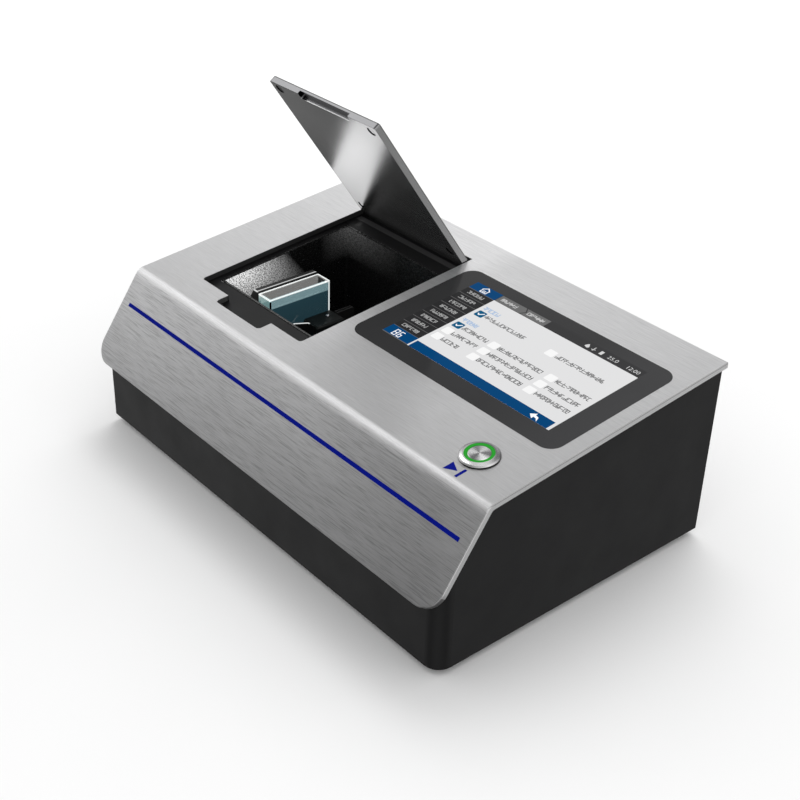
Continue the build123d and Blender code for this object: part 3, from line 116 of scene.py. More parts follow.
class Look:
    """One procedural material: a Principled shader with short calls for what feeds it.

    axes and reach give mm, in the frame of the whole object at rest. A mask is 1 inside and 0
    outside."""

    def __init__(self, name, **values):
        self.mat = bpy.data.materials.new(name)
        self.mat.use_nodes = True
        self.tree = self.mat.node_tree
        self.shader = self.tree.nodes["Principled BSDF"]
        self.where = self.node("ShaderNodeTexCoord").outputs["Object"]
        self.normal = None
        for key, value in values.items():
            self.put(key.replace("_", " "), value)

    def node(self, kind, **settings):
        made = self.tree.nodes.new(kind)
        for key, value in settings.items():
            setattr(made, key, value)
        return made

    def link(self, source, target):
        self.tree.links.new(source, target)

    def feed(self, socket, value):
        """Links a socket to value, or sets it where value is a number or colour."""
        if isinstance(value, bpy.types.NodeSocket):
            self.link(value, socket)
        elif isinstance(value, (tuple, list)) and len(value) == 3:
            socket.default_value = (*value, 1.0)
        else:
            socket.default_value = value

    def put(self, name, value):
        self.feed(self.shader.inputs[name], value)

    def stretched(self, scale):
        """The place, multiplied by scale, a number for each axis in cells per metre."""
        mapping = self.node("ShaderNodeMapping")
        mapping.inputs["Scale"].default_value = scale
        self.link(self.where, mapping.inputs["Vector"])
        return mapping.outputs["Vector"]

    def noise(self, scale, detail=3.0, rough=0.5):
        return self.noise_at(self.stretched(scale), detail, rough)

    def noise_at(self, vector, detail, rough=0.5):
        made = self.node("ShaderNodeTexNoise")
        made.inputs["Scale"].default_value = 1.0
        made.inputs["Detail"].default_value = detail
        made.inputs["Roughness"].default_value = rough
        self.link(vector, made.inputs["Vector"])
        return made.outputs["Fac"]

    def spread(self, value, low, high, start=0.3, stop=0.7):
        """From low, where value is start or less, evenly to high, where it is stop or more."""
        made = self.node("ShaderNodeMapRange")
        made.inputs["From Min"].default_value = start
        made.inputs["From Max"].default_value = stop
        made.inputs["To Min"].default_value = low
        made.inputs["To Max"].default_value = high
        self.link(value, made.inputs["Value"])
        return made.outputs["Result"]

    def math(self, kind, a, b=0.0):
        made = self.node("ShaderNodeMath", operation=kind)
        self.feed(made.inputs[0], a)
        self.feed(made.inputs[1], b)
        return made.outputs["Value"]

    def plus(self, a, b):
        return self.math("ADD", a, b)

    def minus(self, a, b):
        return self.math("SUBTRACT", a, b)

    def times(self, first, *others):
        """A product of numbers. Of masks it is where all of them are 1."""
        for other in others:
            first = self.math("MULTIPLY", first, other)
        return first

    def either(self, a, b):
        return self.math("MAXIMUM", a, b)

    def away(self, value, middle=0.0):
        """Distance of value from middle, either way."""
        return self.math("ABSOLUTE", self.minus(value, middle) if middle else value)

    def mix(self, mask, low, high):
        """The colour low where mask is 0 and high where it is 1."""
        made = self.node("ShaderNodeMix", data_type="RGBA")
        self.link(mask, made.inputs["Factor"])
        self.feed(made.inputs[6], low)
        self.feed(made.inputs[7], high)
        return made.outputs[2]

    def vector(self, kind, a, b):
        """A vector node of two inputs, each a socket or three numbers."""
        made = self.node("ShaderNodeVectorMath", operation=kind)
        for socket, value in zip(made.inputs, (a, b)):
            if isinstance(value, bpy.types.NodeSocket):
                self.link(value, socket)
            else:
                socket.default_value = value
        return made.outputs["Value" if kind == "DOT_PRODUCT" else "Vector"]

    def scaled(self, colour, factor):
        return self.vector("MULTIPLY", colour, factor)

    def bump(self, height, distance_mm, strength=1.0):
        """Relief from height, on top of the relief that is there already."""
        made = self.node("ShaderNodeBump")
        made.inputs["Strength"].default_value = strength
        made.inputs["Distance"].default_value = distance_mm * MM
        self.link(height, made.inputs["Height"])
        if self.normal:
            self.link(self.normal, made.inputs["Normal"])
        self.normal = made.outputs["Normal"]
        self.link(self.normal, self.shader.inputs["Normal"])

    def glow(self, colour):
        """Light of its own, in the units of the lit scene."""
        self.put("Emission Color", colour)
        self.put("Emission Strength", 1.0)

    def axes(self):
        """The place as x, y and z."""
        split = self.node("ShaderNodeSeparateXYZ")
        self.link(self.where, split.inputs["Vector"])
        return [self.times(split.outputs[name], 1.0 / MM) for name in "XYZ"]

    def reach(self, origin, axis):
        """Distance from origin, a point in metres, along a unit axis."""
        offset = self.vector("SUBTRACT", self.where, origin)
        return self.times(self.vector("DOT_PRODUCT", offset, axis), 1.0 / MM)

    def above(self, value, limit, soft=0.0):
        """1 where value is over limit and 0 below it, with a soft change if asked."""
        if soft:
            return self.spread(value, 0.0, 1.0, limit - soft, limit + soft)
        return self.math("GREATER_THAN", value, limit)

    def below(self, value, limit, soft=0.0):
        return self.minus(1.0, self.above(value, limit, soft))


# ---------------------------------------------------------------- brushed steel
STEEL = (0.60, 0.60, 0.605)
PALE_STEEL = (0.80, 0.80, 0.80)


def brushed(name, colour, rough, contrast=0.06, streaks=0.10, relief=0.5, clouding=0.04):
    """Brushed sheet: hair-fine lines along the width, longer scratches and faint clouding.

    Its colour and roughness are kept as base and rough, for a look that builds on it."""
    look = Look(name, Metallic=1.0, Anisotropic=0.65)
    fine = look.noise((55, 2800, 2800), detail=2.0)
    hair = look.noise((60, 2500, 2500), detail=3.0, rough=0.6)
    scratch = look.noise((70, 2100, 2100), detail=1.0)
    cloud = look.noise((9, 16, 16), detail=2.0)
    lines = look.plus(look.times(fine, 0.35), look.times(hair, 0.65))
    tone = look.spread(lines, 0.0, 1.0, 0.38, 0.62)
    base = look.mix(tone, shade(colour, 1 - contrast), shade(colour, 1 + contrast))
    base = look.mix(look.spread(scratch, 0.0, streaks, 0.58, 0.72), base, BLACK)
    look.base = look.mix(look.spread(scratch, streaks, 0.0, 0.28, 0.42), base, WHITE)
    look.rough = look.plus(
        look.spread(lines, -0.1 * relief, 0.1 * relief),
        look.spread(cloud, rough - clouding, rough + clouding),
    )
    look.put("Base Color", look.base)
    look.put("Roughness", look.rough)
    look.bump(lines, 0.02, relief)
    # The grain runs along x, and the highlight stretches across it. The small z keeps the ends,
    # which face along x, from having no direction at all.
    face = look.node("ShaderNodeNewGeometry").outputs["Normal"]
    look.put("Tangent", look.vector("CROSS_PRODUCT", face, (1.0, 0.0, 0.02)))
    return look


# Where the cover's steel changes, in mm, and where its painted shade, painted reflection and painted light
# lie
TONE_ENDS = 170.0
TOP_LIGHT_Y = 95.0
LIGHT_LEFT, LIGHT_RIGHT, LIGHT_FRONT = -82.0, -6.0, -45.0
CUT_SIDES, CUT_FRONT, CUT_REAR = 180.0, -76.0, 112.0
NOTCH_REAR = -57.0
END_FACE, END_CREST = 183.2, 183.0


def cover_steel():
    """The cover's brushed steel: coarser on the front, and blackened on the cut edges of its openings. Its
    colour also holds painted light: painted shade over the front and top, a painted highlight on the bend,
    a painted reflection of the lid, painted light on the end faces and on the notch's cut edge, and a
    painted shadow line along the top of the end faces.
    """
    look = brushed("cover_steel", STEEL, 0.38)
    x, y, z = look.axes()
    from_middle = look.away(x)
    height = look.reach(on_top(0, 0), TOP_NORMAL)
    front_face = look.below(y, BEND_Y - 2.0)
    coarse = look.noise((55, 1900, 1900), detail=2.0, rough=0.6)
    scored = look.times(look.spread(coarse, 0.0, 0.30, 0.50, 0.66), front_face)
    base = look.mix(scored, look.base, BLACK)

    # Painted shade: the front is painted darker towards its bottom and its right end, and the top darker
    # towards the front, as light falls on them.
    front_painted_shade = look.times(
        look.spread(z, 0.83, 1.15, FRONT_EDGE_HEIGHT, BEND_HEIGHT),
        look.spread(x, 1.13, 0.89, -TONE_ENDS, TONE_ENDS),
    )
    tone = look.mix(front_face, look.spread(y, 0.84, 1.13, BEND_Y, TOP_LIGHT_Y), front_painted_shade)
    # Painted highlight: a band along the bend is painted 1.6 times lighter.
    bend_highlight = look.times(look.above(y, BEND_Y - 2.8, 0.9), look.below(y, BEND_Y - 0.4, 0.8))
    tone = look.mix(bend_highlight, tone, (1.6, 1.6, 1.6))
    # Painted reflection of the open lid: a patch of the top in front of it is painted up to 1.15 times
    # lighter.
    lid_reflection = look.times(
        look.above(x, LIGHT_LEFT, 12.0),
        look.below(x, LIGHT_RIGHT, 10.0),
        look.above(y, LIGHT_FRONT, 15.0),
    )
    tone = look.scaled(tone, look.spread(lid_reflection, 1.0, 1.15, 0.0, 1.0))
    base = look.scaled(base, tone)

    # Painted light: the end faces are painted almost white, with a painted shadow line along their top
    # edge.
    base = look.mix(look.above(from_middle, END_FACE), base, (0.95, 0.95, 0.95))
    crest_shadow = look.times(look.above(from_middle, END_CREST), look.above(height, -1.0))
    base = look.mix(crest_shadow, base, (0.42, 0.42, 0.42))
    cut = look.times(
        look.below(height, -0.25),
        look.below(from_middle, CUT_SIDES),
        look.above(y, CUT_FRONT),
        look.below(y, CUT_REAR),
    )
    # Painted light: the cut edge at the finger notch, in front of NOTCH_REAR, is painted lighter than the
    # other cut edges, against the shade that falls there.
    cut_tone = look.mix(look.below(y, NOTCH_REAR), (0.03, 0.03, 0.03), (0.07, 0.07, 0.07))
    look.put("Base Color", look.mix(cut, base, cut_tone))
    look.put("Metallic", look.spread(cut, 0.95, 0.0, 0.0, 1.0))
    return look


# Places on the lid, in mm from its middle, from its pin or outward from the pin's level
LID_SIDE = 55.9
LID_TONE_SIDE, LID_TONE_NEAR, LID_TONE_FAR = 55.0, 15.0, 125.0
OUTER_SKIN, INNER_SKIN = 1.2, -0.5
RECESS_LENGTH, RECESS_SIDE, RECESS_CORNER, RECESS_FLOOR = 5.3, 26.8, 24.2, -2.7
POCKET_SIDE, POCKET_MIDDLE, POCKET_SPREAD, POCKET_RADIUS = 49.0, 77.3, 63.6, 3.6


def lid_steel():
    """The lid's brushed steel: satin inside and grained like the cover outside, with painted shade across
    it, painted shade on its sides, end and finger recess, and painted shadow in its magnet pockets.
    """
    look = brushed("lid_steel", PALE_STEEL, 0.255, contrast=0.02, streaks=0.03, relief=0.02, clouding=0.012)
    x = look.axes()[0]
    along = look.reach(LID_PIN, LID_ALONG)
    outward = look.reach(LID_PIN, LID_OUTWARD)
    sideways = look.away(x, LID_X)
    outer = look.above(outward, OUTER_SKIN)

    grain = look.noise((55, 2800, 2800), detail=3.0, rough=0.6)
    look.bump(look.times(grain, outer), 0.02, 0.5)
    look.put("Roughness", look.plus(look.rough, look.times(outer, 0.12)))
    satin = look.noise((24, 300, 300), detail=4.0)
    inner = look.mix(satin, shade(PALE_STEEL, 0.985), shade(PALE_STEEL, 1.015))
    base = look.mix(outer, inner, look.base)
    # Painted shade: the lid is painted darker towards its pin, and lighter along one diagonal and darker
    # along the other.
    base = look.scaled(base, look.spread(along, 0.62, 1.08, LID_TONE_NEAR, LID_TONE_FAR))
    painted_light_twist = look.times(
        look.spread(x, -1.0, 1.0, LID_X - LID_TONE_SIDE, LID_X + LID_TONE_SIDE),
        look.spread(along, -1.0, 1.0, LID_TONE_NEAR, LID_TONE_FAR),
    )
    base = look.scaled(base, look.spread(painted_light_twist, 1.24, 0.76, -1.0, 1.0))
    base = look.mix(look.times(outer, look.spread(grain, 0.20, 0.38, 0.38, 0.62)), base, BLACK)

    from_side = look.minus(sideways, POCKET_SIDE)
    from_end = look.minus(look.away(along, POCKET_MIDDLE), POCKET_SPREAD)
    from_pocket = look.plus(look.times(from_side, from_side), look.times(from_end, from_end))
    # Painted shadow: the magnet pockets on the inner face are painted black.
    pocket_shadow = look.times(look.below(from_pocket, POCKET_RADIUS**2), look.below(outward, INNER_SKIN))
    base = look.mix(pocket_shadow, base, (0.004, 0.004, 0.004))
    # Painted shade: the lid's sides are painted darker, mixed 45 percent towards black.
    base = look.mix(look.times(look.above(sideways, LID_SIDE), 0.45), base, BLACK)

    end = look.above(along, LID_LENGTH - 0.5)
    recess_shade = look.times(
        look.above(along, LID_LENGTH - RECESS_LENGTH),
        look.below(sideways, RECESS_SIDE),
        look.below(end, 0.5),
        look.above(outward, RECESS_FLOOR),
    )
    # Painted shade: the end face is painted dark grey, darker still on its outer part, and the finger
    # recess mid grey, with a black painted shadow at its left end.
    base = look.mix(end, base, (0.20, 0.20, 0.205))
    base = look.mix(look.times(end, outer), base, (0.07, 0.07, 0.07))
    base = look.mix(recess_shade, base, (0.30, 0.30, 0.305))
    recess_corner_shadow = look.times(recess_shade, look.below(x, LID_X - RECESS_CORNER))
    look.put("Base Color", look.mix(recess_corner_shadow, base, (0.01, 0.01, 0.01)))
    return look


# The start button's middle on the cover, its bezel's inner edge and the height of its foot, up to which the
# bezel is painted black as shadow, in mm
BUTTON_X, BUTTON_ALONG = 146.0, 26.4
BEZEL_INSIDE, BEZEL_FOOT = 9.2, 0.85


def turned_steel():
    """Stainless steel turned on a lathe: rings about the start button's own axis, with painted highlights
    on the cap and bezel and a painted shadow at the bezel's foot.
    """
    look = Look("turned_steel", Metallic=1.0, Anisotropic=0.75)
    centre = on_top(BUTTON_X, BUTTON_ALONG)
    across, ahead = look.reach(centre, (1, 0, 0)), look.reach(centre, TOP_ALONG)
    length = look.node("ShaderNodeVectorMath", operation="LENGTH")
    look.link(look.vector("SUBTRACT", look.where, centre), length.inputs[0])
    radius = length.outputs["Value"]
    angle = look.math("ARCTAN2", ahead, across)
    # Painted highlight: the cap is painted light in three wedges, and the bezel on its front side, over
    # darker steel.
    wedges = look.math("COSINE", look.times(look.minus(angle, math.radians(96)), 3.0))
    facing = look.math("COSINE", look.minus(angle, math.radians(-85)))
    on_bezel = look.above(radius, BEZEL_INSIDE * MM)
    painted_glint = look.mix(
        on_bezel, look.spread(wedges, 0.0, 1.0, -0.9, 0.9), look.spread(facing, 0.0, 1.0, -0.6, 0.9)
    )
    # Painted shadow: the bezel's lowest part, up to its foot height, is painted black.
    foot = look.times(on_bezel, look.below(look.reach(centre, TOP_NORMAL), BEZEL_FOOT))
    rings_at = look.node("ShaderNodeCombineXYZ")
    look.link(look.times(radius, 9000.0), rings_at.inputs["X"])
    rings = look.noise_at(rings_at.outputs["Vector"], detail=2.0)
    shaded_rings = look.mix(rings, (0.22, 0.22, 0.225), (0.34, 0.34, 0.345))
    lit_rings = look.mix(rings, (0.88, 0.88, 0.88), WHITE)
    look.put("Base Color", look.mix(foot, look.mix(painted_glint, shaded_rings, lit_rings), (0.01, 0.01, 0.01)))
    look.put("Roughness", look.spread(rings, 0.22, 0.34))
    look.bump(rings, 0.01, 0.3)
    radial = look.node("ShaderNodeTangent", direction_type="RADIAL", axis="Z")
    look.put("Tangent", radial.outputs["Tangent"])
    return look


# ---------------------------------------------------------------- general looks
def moulded(name, colour, rough, grain, depth, **extra):
    """Moulded or painted surface with a fine stipple, depth mm deep, and slightly uneven sheen."""
    look = Look(name, **extra)
    stipple = look.noise((grain, grain, grain), detail=2.0)
    patch = look.noise((35, 35, 35), detail=3.0)
    look.put("Base Color", look.mix(patch, shade(colour, 0.88), shade(colour, 1.12)))
    look.put("Roughness", look.spread(patch, rough - 0.05, rough + 0.05))
    look.bump(stipple, depth, 0.6)
    return look


def machined(name, colour, rough, grain=(900, 900, 900)):
    """Machined or plated metal with faint tool marks."""
    look = Look(name, Metallic=1.0)
    marks = look.noise(grain, detail=3.0)
    patch = look.noise((60, 60, 60), detail=2.0)
    look.put("Base Color", look.mix(patch, shade(colour, 0.93), shade(colour, 1.05)))
    look.put("Roughness", look.spread(marks, rough - 0.06, rough + 0.06))
    look.bump(marks, 0.01, 0.4)
    return look


def clear(name, colour, rough, ior):
    """Clear glass or liquid with faint smears."""
    look = Look(name, IOR=ior)
    look.put("Transmission Weight", 1.0)
    smear = look.noise((40, 40, 40), detail=4.0)
    look.put("Base Color", look.mix(smear, shade(colour, 0.985), colour))
    look.put("Roughness", look.spread(smear, rough * 0.5, rough * 1.5))
    return look


def lit(name, colour):
    """Part of a lit picture seen through glass: it glows, and it keeps the glass's shine."""
    look = Look(name, Roughness=0.12, IOR=1.08)
    look.put("Base Color", shade(colour, 0.08))
    pattern = look.noise((3000, 3000, 3000), detail=1.0)
    look.glow(look.mix(pattern, shade(colour, 0.97), shade(colour, 1.03)))
    return look


def ink(name, colour):
    """Screen-printed ink with a slightly uneven film."""
    look = Look(name, IOR=1.1)
    film = look.noise((700, 700, 700), detail=3.0)
    look.put("Base Color", look.mix(film, shade(colour, 0.85), shade(colour, 1.15)))
    look.put("Roughness", look.spread(film, 0.27, 0.43))
    look.bump(film, 0.01, 0.4)
    return look


def dark_glass():
    """The display's black glass with a faint haze, and a painted reflection that makes it paler towards its
    right end.
    """
    look = Look("display_glass", IOR=1.22)
    haze = look.noise((25, 25, 25), detail=4.0)
    x = look.axes()[0]
    base = look.mix(haze, (0.022, 0.022, 0.023), (0.028, 0.028, 0.029))
    # Painted reflection: up to 1.6 times paler towards the right end.
    look.put("Base Color", look.scaled(base, look.spread(x, 1.0, 1.6, 110.0, 172.0)))
    look.put("Roughness", look.spread(haze, 0.08, 0.14))
    return look


def green_ring():
    """The start button's lit ring."""
    look = Look("ring_green", Roughness=0.3, IOR=1.2)
    grain = look.noise((900, 900, 900), detail=2.0)
    look.put("Base Color", look.mix(grain, (0.006, 0.12, 0.008), (0.010, 0.17, 0.013)))
    look.glow(look.mix(grain, (0.006, 0.15, 0.008), (0.009, 0.19, 0.012)))
    return look


# ---------------------------------------------------------------- looks inside the sample well
LINER_LOW, LINER_HIGH = corners("chamber_liner")
LINER_LEFT, LINER_REAR = LINER_LOW.x + 2.6, LINER_HIGH.y - 4.3
LINER_RIM = 5.6


def hammered_black():
    """Glossy black hammer finish, with painted glints: bright, glowing flecks that thin out down the left
    wall, and faint ones high at the rear left.
    """
    look = Look("hammered_black", IOR=1.6)
    dimple = look.node("ShaderNodeTexVoronoi", feature="SMOOTH_F1")
    dimple.inputs["Scale"].default_value = 1.0
    look.link(look.stretched((620, 620, 620)), dimple.inputs["Vector"])
    wave = look.noise((900, 900, 900), detail=2.0)
    black = look.mix(wave, (0.004, 0.004, 0.004), (0.010, 0.010, 0.010))
    x, y, _ = look.axes()
    depth = look.times(look.reach(on_top(0, 0), TOP_NORMAL), -1.0)
    left = look.below(x, LINER_LEFT)
    # The painted glints on the left wall end along a slant: deeper down they reach further back
    slant = look.minus(y, look.times(depth, 0.74))
    on_left = look.times(left, look.below(slant, -10.0, 20.0), look.below(depth, 25.0, 15.0))
    high = look.below(depth, 18.0, 12.0)
    on_rear = look.times(look.above(y, LINER_REAR), high, look.below(x, -100.0, 28.0))
    on_left_rear = look.times(left, high, look.above(y, 56.0, 12.0))
    faint_fleck_glints = look.times(look.either(on_rear, on_left_rear), 0.08)
    # Painted glints: flecks are painted pale and glow on the upper left wall, and faintly high at the rear
    # left.
    painted_fleck_area = look.times(look.either(on_left, faint_fleck_glints), look.above(depth, LINER_RIM))
    flecks = look.noise((1500, 850, 1400), detail=3.0, rough=0.7)
    fleck_glint_share = look.times(painted_fleck_area, look.spread(flecks, 0.1, 1.0, 0.40, 0.60))
    look.put("Base Color", look.mix(fleck_glint_share, black, (0.9, 0.9, 0.9)))
    look.glow(look.mix(fleck_glint_share, BLACK, (0.85, 0.85, 0.85)))
    look.put("Roughness", look.spread(wave, 0.20, 0.34))
    look.bump(dimple.outputs["Distance"], 0.55, 0.8)
    look.bump(wave, 0.30, 0.8)
    return look


CELL_LOW, CELL_HIGH = corners("cuvette")
LIQUID_LOW, LIQUID_HIGH = corners("sample_liquid")
CELL_TINT = (0.86, 0.97, 0.98)
GREY_GLOW = (0.17, 0.165, 0.16)


def cell_glass():
    """Clear cell whose walls and top rim glow with painted light, the light that falls on it, with a
    painted highlight on its rear edge and painted shade on its front edge.
    """
    look = clear("cell_glass", CELL_TINT, 0.03, 1.46)
    x, y, z = look.axes()
    left, right, front, rear, top = CELL_LOW.x, CELL_HIGH.x, CELL_LOW.y, CELL_HIGH.y, CELL_HIGH.z
    filled = look.below(z, LIQUID_HIGH.z)

    # Painted light: the walls glow, painted darker in the liquid and darker still lower down; the rear edge
    # carries a painted highlight, the front edge painted shade, and the top rim glows pale.
    deep_shade = look.mix(look.below(z, 78.0, 22.0), (0.016, 0.042, 0.054), (0.008, 0.020, 0.026))
    right_wall = look.mix(filled, (0.15, 0.24, 0.26), deep_shade)
    front_wall = look.mix(filled, (0.12, 0.21, 0.21), (0.055, 0.13, 0.13))
    glow = look.mix(look.above(x, right - 0.1), BLACK, right_wall)
    glow = look.mix(look.below(y, front + 0.1), glow, front_wall)
    inner_wall = look.times(
        look.below(x, LIQUID_LOW.x + 0.1),
        look.above(x, LIQUID_LOW.x - 0.1),
        look.above(z, LIQUID_HIGH.z),
    )
    glow = look.mix(inner_wall, glow, GREY_GLOW)
    rear_edge_highlight = look.times(look.above(x, right - 0.9), look.above(y, rear - 1.6))
    glow = look.mix(rear_edge_highlight, glow, (0.72, 0.76, 0.76))
    front_edge_shade = look.times(
        look.above(x, right - 0.6), look.below(y, front + 1.2), look.below(z, top - 1.0)
    )
    glow = look.mix(front_edge_shade, glow, BLACK)

    within = look.times(
        look.above(x, left + 1.25),
        look.below(x, right - 1.25),
        look.above(y, front + 1.4),
        look.below(y, rear - 1.4),
    )
    lit_rim = look.mix(within, (0.78, 0.80, 0.79), GREY_GLOW)
    glow = look.mix(look.above(z, top - 0.55), glow, lit_rim)
    grain = look.noise((900, 900, 900), detail=2.0)
    look.put("Base Color", look.mix(front_edge_shade, CELL_TINT, BLACK))
    look.glow(look.mix(look.spread(grain, 0.0, 0.12), glow, BLACK))
    return look


JAW_LOW, JAW_HIGH = corners("port_plate")
JAW_LINE = JAW_HIGH.x - 2.5


def jaw_plastic():
    """Black jaw with a painted highlight, a glow, along its top edges by the cell."""
    look = moulded("jaw_plastic", (0.006, 0.006, 0.006), 0.4, 1500.0, 0.02)
    x, y, z = look.axes()
    along_cell = look.above(x, JAW_LINE)
    along_front = look.times(look.below(y, JAW_LOW.y + 0.8), look.above(x, JAW_LINE - 6.0))
    edge_highlight = look.times(
        look.either(along_cell, along_front),
        look.below(x, JAW_LINE + 1.0),
        look.above(z, JAW_HIGH.z - 0.75),
    )
    look.glow(look.mix(edge_highlight, BLACK, (0.62, 0.63, 0.63)))
    return look


CLAMP_LOW, CLAMP_HIGH = corners("clamp_jaw")
LEAF_TOP = corners("clamp_leaf")[1].z
LEAF_BEND = -88.5


def leaf_steel():
    """Blackened spring leaf with a painted highlight, a glow, along the top of its long side."""
    look = moulded("leaf_steel", (0.008, 0.008, 0.008), 0.4, 1500.0, 0.01)
    x, _, z = look.axes()
    edge_glint = look.times(look.above(z, LEAF_TOP - 0.35), look.below(x, LEAF_BEND))
    look.glow(look.mix(edge_glint, BLACK, (0.70, 0.72, 0.72)))
    return look


def clamp_plastic():
    """Dark clamp jaw, with painted highlights, a faint glow, on its front and right top edges."""
    look = moulded("clamp_grey", (0.009, 0.011, 0.0105), 0.42, 1500.0, 0.02, IOR=1.35)
    x, y, z = look.axes()
    # Painted highlight: the front and right top edges glow faintly.
    edge = look.either(look.below(y, CLAMP_LOW.y + 0.45), look.above(x, CLAMP_HIGH.x - 0.45))
    edge = look.times(edge, look.above(z, CLAMP_HIGH.z - 0.45))
    look.glow(look.mix(edge, BLACK, (0.07, 0.075, 0.075)))
    return look


# ---------------------------------------------------------------- the looks of the CAD nodes
def dress(look, *names):
    """Give a look to these nodes."""
    for name in names:
        materials = nodes[name].data.materials
        materials.clear()
        materials.append(look.mat)


DARK = (0.016, 0.016, 0.017)
glass = dark_glass()
dress(cover_steel(), "top_cover")
dress(lid_steel(), "lid_panel")
dress(
    moulded("base_paint", (0.007, 0.007, 0.0075), 0.46, 2200.0, 0.04, IOR=1.38),
    "base_housing", "bottom_plate", "connector_tray",
)
dress(
    moulded("foot_rubber", (0.02, 0.02, 0.02), 0.75, 900.0, 0.06),
    *[name for name in nodes if name.startswith("foot_") and name != "foot_screws"],
)
dress(moulded("frame_paint", (0.009, 0.009, 0.0095), 0.5, 2600.0, 0.02, IOR=1.3), "chamber_frame")
dress(hammered_black(), "chamber_liner")
dress(cell_glass(), "cuvette")
dress(clear("sample", (0.80, 0.93, 0.96), 0.01, 1.33), "sample_liquid")
dress(jaw_plastic(), "port_plate")
dress(leaf_steel(), "clamp_leaf")
dress(clamp_plastic(), "clamp_jaw")
dress(moulded("clamp_dark", (0.02, 0.02, 0.02), 0.4, 1500.0, 0.02), "clamp_arm")
dress(moulded("stand_plastic", DARK, 0.4, 1500.0, 0.03), "sample_stand", "clamp_post")
dress(glass, "display_glass")
dress(green_ring(), "button_light_ring")
dress(turned_steel(), "button_body", "button_cap", "button_nut")
dress(moulded("connector_black", (0.012, 0.012, 0.012), 0.4, 1500.0, 0.02), "dc_jack", "rocker_housing")
dress(moulded("rocker_black", (0.01, 0.01, 0.01), 0.22, 800.0, 0.01), "rocker_key")
dress(
    moulded("anodised", (0.016, 0.016, 0.018), 0.38, 1200.0, 0.01),
    "lens_tube", "lamp_housing", "sphere_port_ring", "spectrometer_body", "spectrometer_cover",
)
dress(moulded("nylon", (0.75, 0.75, 0.70), 0.45, 700.0, 0.02), "board_posts")
dress(moulded("board_green", (0.01, 0.11, 0.035), 0.3, 300.0, 0.05), "main_board")
dress(moulded("board_white", (0.7, 0.7, 0.66), 0.4, 600.0, 0.02), "lamp_board")
dress(moulded("sphere_paint", (0.72, 0.72, 0.70), 0.5, 900.0, 0.03), "sphere_lower", "sphere_upper")
dress(moulded("lcd_back", (0.03, 0.03, 0.034), 0.35, 500.0, 0.02), "lcd_module")
dress(moulded("magnet_black", (0.004, 0.004, 0.004), 0.3, 900.0, 0.01, IOR=1.3), "frame_magnets")
dress(
    machined("zinc", (0.62, 0.63, 0.66), 0.26),
    "foot_screws", "display_screws", "cover_nuts", "clamp_screw",
)
dress(
    machined("black_oxide", (0.05, 0.05, 0.05), 0.4),
    "bottom_screws", "frame_screws", "tray_screws", "sphere_screws",
)
dress(machined("nickel", (0.55, 0.55, 0.56), 0.2), "usb_socket", "lid_magnets")
dress(machined("ground_steel", (0.58, 0.58, 0.6), 0.18, (60, 2500, 2500)), "hinge_pins", "clamp_pins")
dress(machined("spring_steel", (0.55, 0.55, 0.56), 0.22), "button_spring", "clamp_springs")
dress(
    machined("milled", (0.66, 0.66, 0.68), 0.34, (40, 1500, 1500)),
    "chamber_pillars", "bench_pillars", "optics_bench",
)
dress(machined("sheet_steel", (0.52, 0.53, 0.55), 0.34, (200, 200, 200)), "display_bracket")
dress(
    clear("lens_glass", (0.97, 0.99, 1.0), 0.01, 1.52),
    "port_window_left", "port_window_right", "collimator_lens",
)


# ---------------------------------------------------------------- flat printed and lit pieces
def piece(name, outlines, height, place, look, thick=0.03):
    """Thin flat shapes on a sloping face of the housing, as one mesh, with its top at height in mm."""
    mesh = bmesh.new()
    for points in outlines:
        low = [mesh.verts.new(place(x, a, height - thick)) for x, a in points]
        high = [mesh.verts.new(place(x, a, height)) for x, a in points]
        mesh.faces.new(high)
        mesh.faces.new(list(reversed(low)))
        count = len(points)
        for i in range(count):
            j = (i + 1) % count
            mesh.faces.new((low[i], low[j], high[j], high[i]))
    bmesh.ops.recalc_face_normals(mesh, faces=mesh.faces)
    data = bpy.data.meshes.new(name)
    mesh.to_mesh(data)
    mesh.free()
    settle(bpy.data.objects.new(name, data), look)


def settle(obj, look):
    """Puts a new piece on the housing, with its look in its material slot."""
    bpy.context.scene.collection.objects.link(obj)
    obj.data.materials.clear()
    obj.data.materials.append(look.mat)
    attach(obj, "housing")


def rect(x0, x1, a0, a1):
    return [(x0, a0), (x1, a0), (x1, a1), (x0, a1)]


def rounded(x0, x1, a0, a1, r, steps=5):
    """A rectangle with round corners, from its front right corner round to its front left one."""
    middles = ((x1 - r, a0 + r), (x1 - r, a1 - r), (x0 + r, a1 - r), (x0 + r, a0 + r))
    points = []
    for (cx, ca), start in zip(middles, (-90, 0, 90, 180)):
        for k in range(steps + 1):
            t = math.radians(start + 90.0 * k / steps)
            points.append((cx + r * math.cos(t), ca + r * math.sin(t)))
    return points


def stroke(p, q, width):
    """A straight bar from p to q."""
    (px, pa), (qx, qa) = p, q
    dx, da = qx - px, qa - pa
    length = math.hypot(dx, da)
    nx, na = -da / length * width / 2, dx / length * width / 2
    return [(px + nx, pa + na), (px - nx, pa - na), (qx - nx, qa - na), (qx + nx, qa + na)]


# Width of a mark's lines, and the gap between two marks, in mm
MARK_LINE, MARK_GAP = 0.46, 0.35


